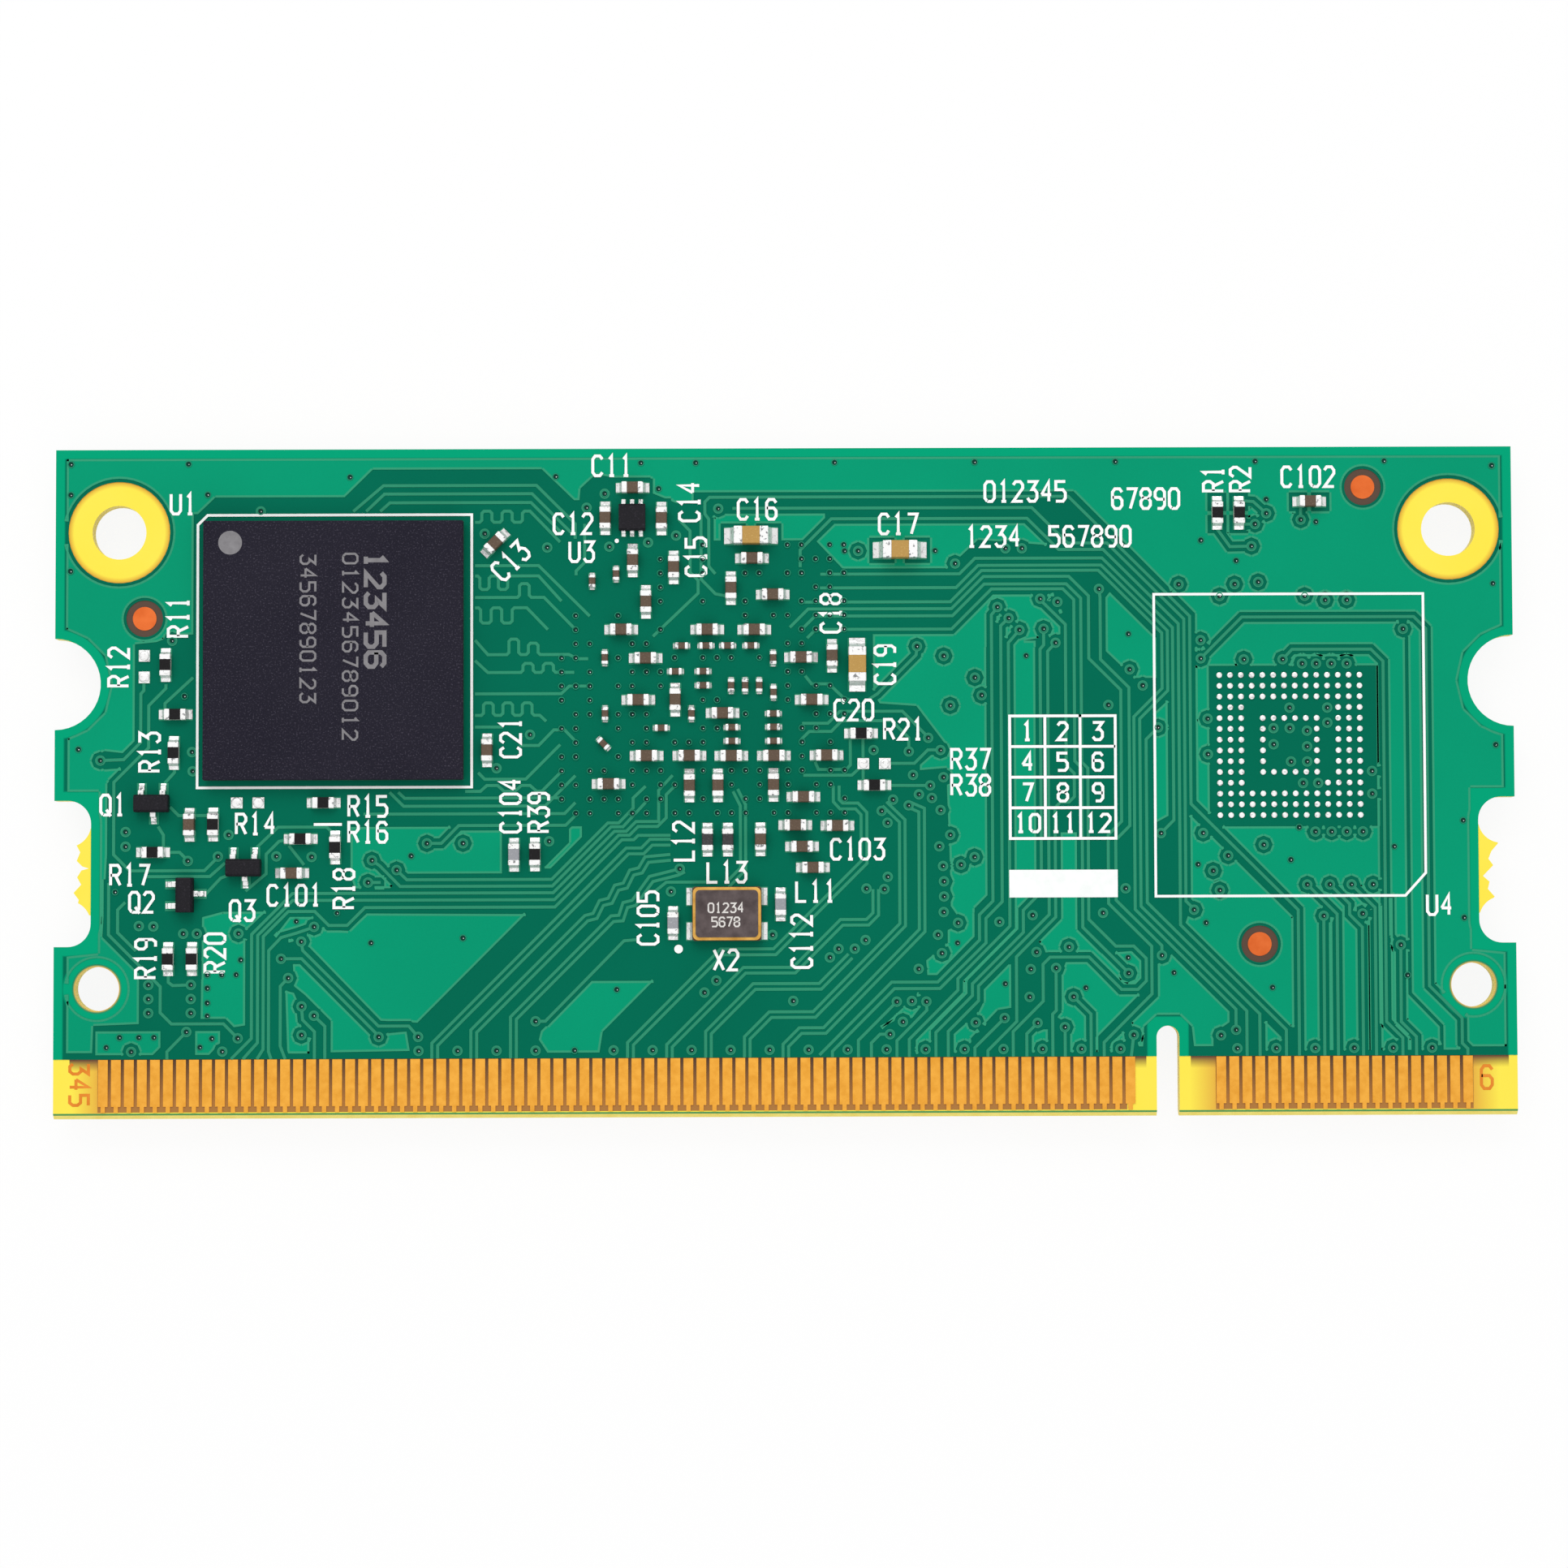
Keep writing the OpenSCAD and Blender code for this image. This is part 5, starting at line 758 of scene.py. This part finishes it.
print("table", round(table_right - TABLE_LEFT, 2), "by", round(TABLE_TOP - table_foot, 2), "mm")

# %% [markdown]
# ### The ink's surface
# Screened ink is matt and nearly white, with a faint mottle from the mesh of the screen. A flat white would
# glare beside the grained lacquer, so a noise moves it between two whites.

# %% Ink to mesh
paper = Surface("white_ink")
mottle = paper.noise(2400.0, 3.0)
ink_tone = paper.mix(mottle.ramp(0.3, 0.6), srgb(246, 250, 248), srgb(254, 255, 254))
paper.set(Base_Color=ink_tone, Roughness=0.5 + mottle * 0.2)
white_print = ink.piece("white_print", paper.mat, "alumina")
print("white print", len(white_print.data.polygons), "faces")

# %% [markdown]
# ### Marks on the chips
# A moulded chip carries a ground dot by its first ball and lines burnt by a laser, a shade lighter than the
# resin. A burn is too shallow to model in the solid, so it is drawn with the same ribbons, just above the
# face. The lines here are plain digits.


# %% Chip marks
MARK_LIFT = 0.002
MEMORY_DOT = (-25.6, 11.08, 0.55, 32)


def burnt(name, dark, light, rough):
    """A grainy laser mark."""
    s = Surface(name)
    grain = s.noise(3000.0, 3.0)
    return s.set(Base_Color=s.mix(grain, dark, light), Roughness=rough + grain * 0.2)


on_memory = Ink(span("memory_mould", 2)[1] + MARK_LIFT)
on_memory.disc(*MEMORY_DOT)
on_memory.write("123456", -18.9, 7.95, -90, height=0.86, pen=0.2, advance=0.92, pace=0.66)
on_memory.write("0123456789012", -20.05, 6.25, -90, height=0.66, pen=0.1, advance=0.68, pace=0.44)
on_memory.write("34567890123", -22.0, 7.1, -90, height=0.68, pen=0.1, advance=0.64, pace=0.42)
resin_burn = burnt("laser_mark", srgb(104, 101, 105), srgb(147, 145, 148), 0.6)
memory_marks = on_memory.piece("memory_marks", resin_burn, "mould")
on_lid = Ink(span("crystal_lid", 2)[1] + MARK_LIFT)
on_lid.write("01234", -2.75, -5.85, 0, height=0.42, pen=0.07, advance=0.34, pace=0.24)
on_lid.write("5678", -2.75, -6.5, 0, height=0.42, pen=0.07, advance=0.34, pace=0.24)
lid_burn = burnt("lid_mark", srgb(205, 200, 195), srgb(235, 232, 228), 0.5)
crystal_marks = on_lid.piece("crystal_marks", lid_burn, "lid_metal")
print("chip mark faces", len(memory_marks.data.polygons), len(crystal_marks.data.polygons))

# %% [markdown]
# ### Numbers in the copper
# A number stands in bare copper at each end of the contact row, on the yellow laminate just outside the
# first and the last finger. It is etched with the tracks and thin as they are, so ribbons do for it too,
# in a copper that has gone dull.

# %% Copper numbers
ETCH_LIFT = 0.004
etched = Ink(face_top + ETCH_LIFT)
etched.write("345", -32.6, -13.9, -90, height=0.86, pen=0.14, advance=0.72, pace=0.46)
etched.write("6", 32.37, -13.77, 0, height=1.05, pen=0.14, advance=0.8, pace=0.5)
dull_copper = metal("dull_copper", srgb(242, 154, 64), srgb(226, 136, 50), 900.0, 0.5)
end_numbers = etched.piece("end_numbers", dull_copper, "bare_copper")
print("end numbers", len(end_numbers.data.polygons), "faces")

# %% [markdown]
# ## What repeats: hole rims and solder domes
# A plated hole has a raised ring of copper under the lacquer, and hundreds of them are alike. The empty
# footprint's lands carry tinned domes, and a tiny tin dome off each hole's middle is a painted highlight.
# A loop could place them one by one, but Geometry Nodes copy one shape to a cloud of points and vary each
# copy from a seed. The points are the middles of the plugs and lands that the CAD placed.

# %% Points
plugs_top = middles("via_plugs_top")
plugs_under = middles("via_plugs_bottom")
storage_spots = middles("storage_lands")
bare_spots = middles("bare_lands")
print("plugs", len(plugs_top), "under", len(plugs_under), "lands", len(storage_spots), len(bare_spots))

# %% A tree that copies one shape to points
FULL_TURN = 6.283
SMALLEST = 0.93
LARGEST = 1.05


def copier(name, build, mat):
    """A tree that copies the shape from build to every vertex, turned and sized a little at random."""
    tree = bpy.data.node_groups.new(name, "GeometryNodeTree")
    face = tree.interface
    face.new_socket("Geometry", in_out="INPUT", socket_type="NodeSocketGeometry")
    radius = face.new_socket("Radius", in_out="INPUT", socket_type="NodeSocketFloat")
    height = face.new_socket("Height", in_out="INPUT", socket_type="NodeSocketFloat")
    seed = face.new_socket("Seed", in_out="INPUT", socket_type="NodeSocketInt")
    face.new_socket("Geometry", in_out="OUTPUT", socket_type="NodeSocketGeometry")
    add = tree.nodes.new
    link = tree.links.new
    start = add("NodeGroupInput")
    end = add("NodeGroupOutput")
    shape = build(tree, start)
    turn = add("FunctionNodeRandomValue")
    turn.data_type = "FLOAT_VECTOR"
    turn.inputs["Min"].default_value = (0, 0, 0)
    turn.inputs["Max"].default_value = (0, 0, FULL_TURN)
    size = add("FunctionNodeRandomValue")
    size.data_type = "FLOAT"
    low, high = [s for s in size.inputs if s.enabled][:2]
    low.default_value = SMALLEST
    high.default_value = LARGEST
    for chance in (turn, size):
        link(start.outputs["Seed"], [s for s in chance.inputs if s.name == "Seed"][0])
    copies = add("GeometryNodeInstanceOnPoints")
    link(start.outputs["Geometry"], copies.inputs["Points"])
    link(shape, copies.inputs["Instance"])
    link([s for s in turn.outputs if s.enabled][0], copies.inputs["Rotation"])
    link([s for s in size.outputs if s.enabled][0], copies.inputs["Scale"])
    real = add("GeometryNodeRealizeInstances")
    link(copies.outputs[0], real.inputs[0])
    skin = add("GeometryNodeSetMaterial")
    skin.inputs["Material"].default_value = mat
    link(real.outputs[0], skin.inputs[0])
    link(skin.outputs[0], end.inputs[0])
    return tree, {"Radius": radius.identifier, "Height": height.identifier, "Seed": seed.identifier}


print("copies are", SMALLEST, "to", LARGEST, "of the stated size")


# %% The two shapes
def ring_shape(tree, start):
    """A ring: a circle swept by a small circle."""
    path = tree.nodes.new("GeometryNodeCurvePrimitiveCircle")
    path.inputs["Resolution"].default_value = 18
    section = tree.nodes.new("GeometryNodeCurvePrimitiveCircle")
    section.inputs["Resolution"].default_value = 6
    sweep = tree.nodes.new("GeometryNodeCurveToMesh")
    tree.links.new(start.outputs["Radius"], path.inputs["Radius"])
    tree.links.new(start.outputs["Height"], section.inputs["Radius"])
    tree.links.new(path.outputs[0], sweep.inputs["Curve"])
    tree.links.new(section.outputs[0], sweep.inputs["Profile Curve"])
    return sweep.outputs[0]


def dome_shape(tree, start):
    """A ball pressed flat to the stated height."""
    ball = tree.nodes.new("GeometryNodeMeshUVSphere")
    ball.inputs["Segments"].default_value = 16
    ball.inputs["Rings"].default_value = 8
    ratio = tree.nodes.new("ShaderNodeMath")
    ratio.operation = "DIVIDE"
    scale = tree.nodes.new("ShaderNodeCombineXYZ")
    scale.inputs[0].default_value = 1.0
    scale.inputs[1].default_value = 1.0
    press = tree.nodes.new("GeometryNodeTransform")
    tree.links.new(start.outputs["Radius"], ball.inputs["Radius"])
    tree.links.new(start.outputs["Height"], ratio.inputs[0])
    tree.links.new(start.outputs["Radius"], ratio.inputs[1])
    tree.links.new(ratio.outputs[0], scale.inputs[2])
    tree.links.new(ball.outputs[0], press.inputs["Geometry"])
    tree.links.new(scale.outputs[0], press.inputs["Scale"])
    return press.outputs[0]


ring_green = lacquer("mask_over_ring", srgb(28, 136, 104), 0.5, 0.2)
rings, ring_ids = copier("hole_rims", ring_shape, ring_green)
domes, dome_ids = copier("solder_domes", dome_shape, solder)
print("trees", rings.name, len(rings.nodes), domes.name, len(domes.nodes))

# %% Run the trees
RIM_R = 0.14
RIM_H = 0.025
GLINT_SHIFT_X = 0.025 * MM
GLINT_SHIFT_Y = -0.015 * MM


def spread(name, points, tree, ids, radius_mm, height_mm, seed, slot):
    """Runs a tree on points and keeps the result as a plain mesh."""
    cloud = bpy.data.meshes.new(name + "_points")
    cloud.from_pydata(points, [], [])
    holder = bpy.data.objects.new(name + "_points", cloud)
    bpy.context.scene.collection.objects.link(holder)
    run = holder.modifiers.new("copy", "NODES")
    run.node_group = tree
    run[ids["Radius"]] = radius_mm * MM
    run[ids["Height"]] = height_mm * MM
    run[ids["Seed"]] = seed
    bpy.context.view_layer.update()
    graph = bpy.context.evaluated_depsgraph_get()
    mesh = bpy.data.meshes.new_from_object(holder.evaluated_get(graph))
    bpy.data.objects.remove(holder)
    made = bpy.data.objects.new(name, mesh)
    bpy.context.scene.collection.objects.link(made)
    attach(made, "root")
    for face in mesh.polygons:
        face.use_smooth = True
    return made


# Painted highlight: each hole's glint is a tiny tin dome shifted off the middle of the hole.
glint_spots = [(x + GLINT_SHIFT_X, y + GLINT_SHIFT_Y, z) for x, y, z in plugs_top]
repeated = [
    spread("hole_rims_top", plugs_top, rings, ring_ids, RIM_R, RIM_H, 3, "masked_copper"),
    spread("hole_rims_under", plugs_under, rings, ring_ids, RIM_R, RIM_H, 5, "masked_copper"),
    spread("storage_domes", storage_spots, domes, dome_ids, 0.13, 0.035, 7, "solder"),
    spread("bare_land_domes", bare_spots, domes, dome_ids, 0.25, 0.07, 9, "solder"),
    spread("hole_glints", glint_spots, domes, dome_ids, 0.024, 0.01, 11, "solder"),
]
print("copied faces", {piece.name: len(piece.data.polygons) for piece in repeated})

# %% [markdown]
# ## Floor
# The photograph's ground is plain white. Stronger lamps would turn a grey sheet white too, but they would
# bleach the board. So the sheet glows towards the camera and in mirrors only. The rest of it stays a pale
# matt surface that keeps the board's shadow.

# %% Floor
FLOOR_HALF = 1.5
GLOW_SHARE = 0.9
corners = [(-FLOOR_HALF, -FLOOR_HALF, 0), (FLOOR_HALF, -FLOOR_HALF, 0)]
corners += [(FLOOR_HALF, FLOOR_HALF, 0), (-FLOOR_HALF, FLOOR_HALF, 0)]
floor_mesh = bpy.data.meshes.new("floor")
floor_mesh.from_pydata(corners, [], [(0, 1, 2, 3)])
floor = bpy.data.objects.new("floor", floor_mesh)
bpy.context.scene.collection.objects.link(floor)
ground = Surface("white_ground")
rays = ground.node("ShaderNodeLightPath", out=None)
kinds = ("Is Camera Ray", "Is Glossy Ray", "Is Transmission Ray")
seen = sum(Val(ground, rays.outputs[kind]) for kind in kinds).low(1.0)
soft = ground.noise(3.0, 2.0)
ground.set(Base_Color=ground.mix(soft, srgb(246, 246, 246), srgb(250, 250, 250)), Roughness=0.8)
glow = ground.node("ShaderNodeEmission", Color=(1.0, 1.0, 1.0, 1.0), Strength=1.0)
blend = ground.node("ShaderNodeMixShader", out=None)
for slot, value in zip(blend.inputs, (seen * GLOW_SHARE, Val(ground, ground.shader.outputs[0]), glow)):
    ground.feed(slot, value)
ground.tree.links.new(blend.outputs[0], ground.tree.nodes["Material Output"].inputs["Surface"])
floor_mesh.materials.append(ground.mat)
print("floor", 2 * FLOOR_HALF, "m wide")

# %% [markdown]
# ## Light
# The photograph has broad soft light from the far edge, with enough fill that nothing sinks into black. A
# large panel stands behind the far edge, a weaker one on the near side, and the sky fills the rest. One
# even sky would do for the lacquer, but tin needs something dark to mirror as well, so the sky is bright
# overhead and grey towards the horizon. All of it together is about as strong as plain daylight on paper,
# so a colour shows about as it is written.

# %% Sky
SKY_HORIZON = 0.45
SKY_OVERHEAD = 0.95
scene = bpy.context.scene
scene.view_settings.view_transform = "Standard"
world = bpy.data.worlds.new("studio")
scene.world = world
world.use_nodes = True
sky = Net(world.node_tree)
way = sky.node("ShaderNodeTexCoord", out="Generated")
upward = sky.node("ShaderNodeSeparateXYZ", Vector=way, out="Z").ramp(0.1, 0.95)
background = sky.tree.nodes["Background"]
sky.feed(background.inputs["Strength"], SKY_HORIZON + upward * (SKY_OVERHEAD - SKY_HORIZON))
sky.feed(background.inputs["Color"], (1.0, 1.0, 1.0, 1.0))
print("sky from", SKY_HORIZON, "to", SKY_OVERHEAD)


# %% Panels
def panel(name, place, width, depth, power):
    """A rectangular lamp that faces the middle of the board."""
    lamp = bpy.data.lights.new(name, "AREA")
    lamp.shape = "RECTANGLE"
    lamp.size = width
    lamp.size_y = depth
    lamp.energy = power
    made = bpy.data.objects.new(name, lamp)
    made.location = place
    made.rotation_euler = (-Vector(place)).to_track_quat("-Z", "Y").to_euler()
    scene.collection.objects.link(made)


panel("key", (-0.04, 0.22, 0.24), width=0.30, depth=0.16, power=0.36)
panel("fill", (0.05, -0.25, 0.22), width=0.25, depth=0.15, power=0.08)

# %% [markdown]
# ## Camera
# The picture was taken from almost straight above, a little from the near side, with a long lens. A camera
# set by eye would leave the board a few pixels off, so its place and turn were fitted to the board's
# corners and holes.

# %% Camera
CAMERA_PLACE_MM = (-0.758, -8.301, 183.5)
CAMERA_TURN = (2.584, -0.217, -0.186)
lens = bpy.data.cameras.new("camera")
lens.sensor_width = 36.0
lens.lens = 90.0
lens.clip_start = 0.01
lens.clip_end = 10.0
camera = bpy.data.objects.new("camera", lens)
camera.location = [v * MM for v in CAMERA_PLACE_MM]
camera.rotation_euler = [math.radians(v) for v in CAMERA_TURN]
scene.collection.objects.link(camera)
scene.camera = camera
print("camera", [round(v, 4) for v in camera.location])
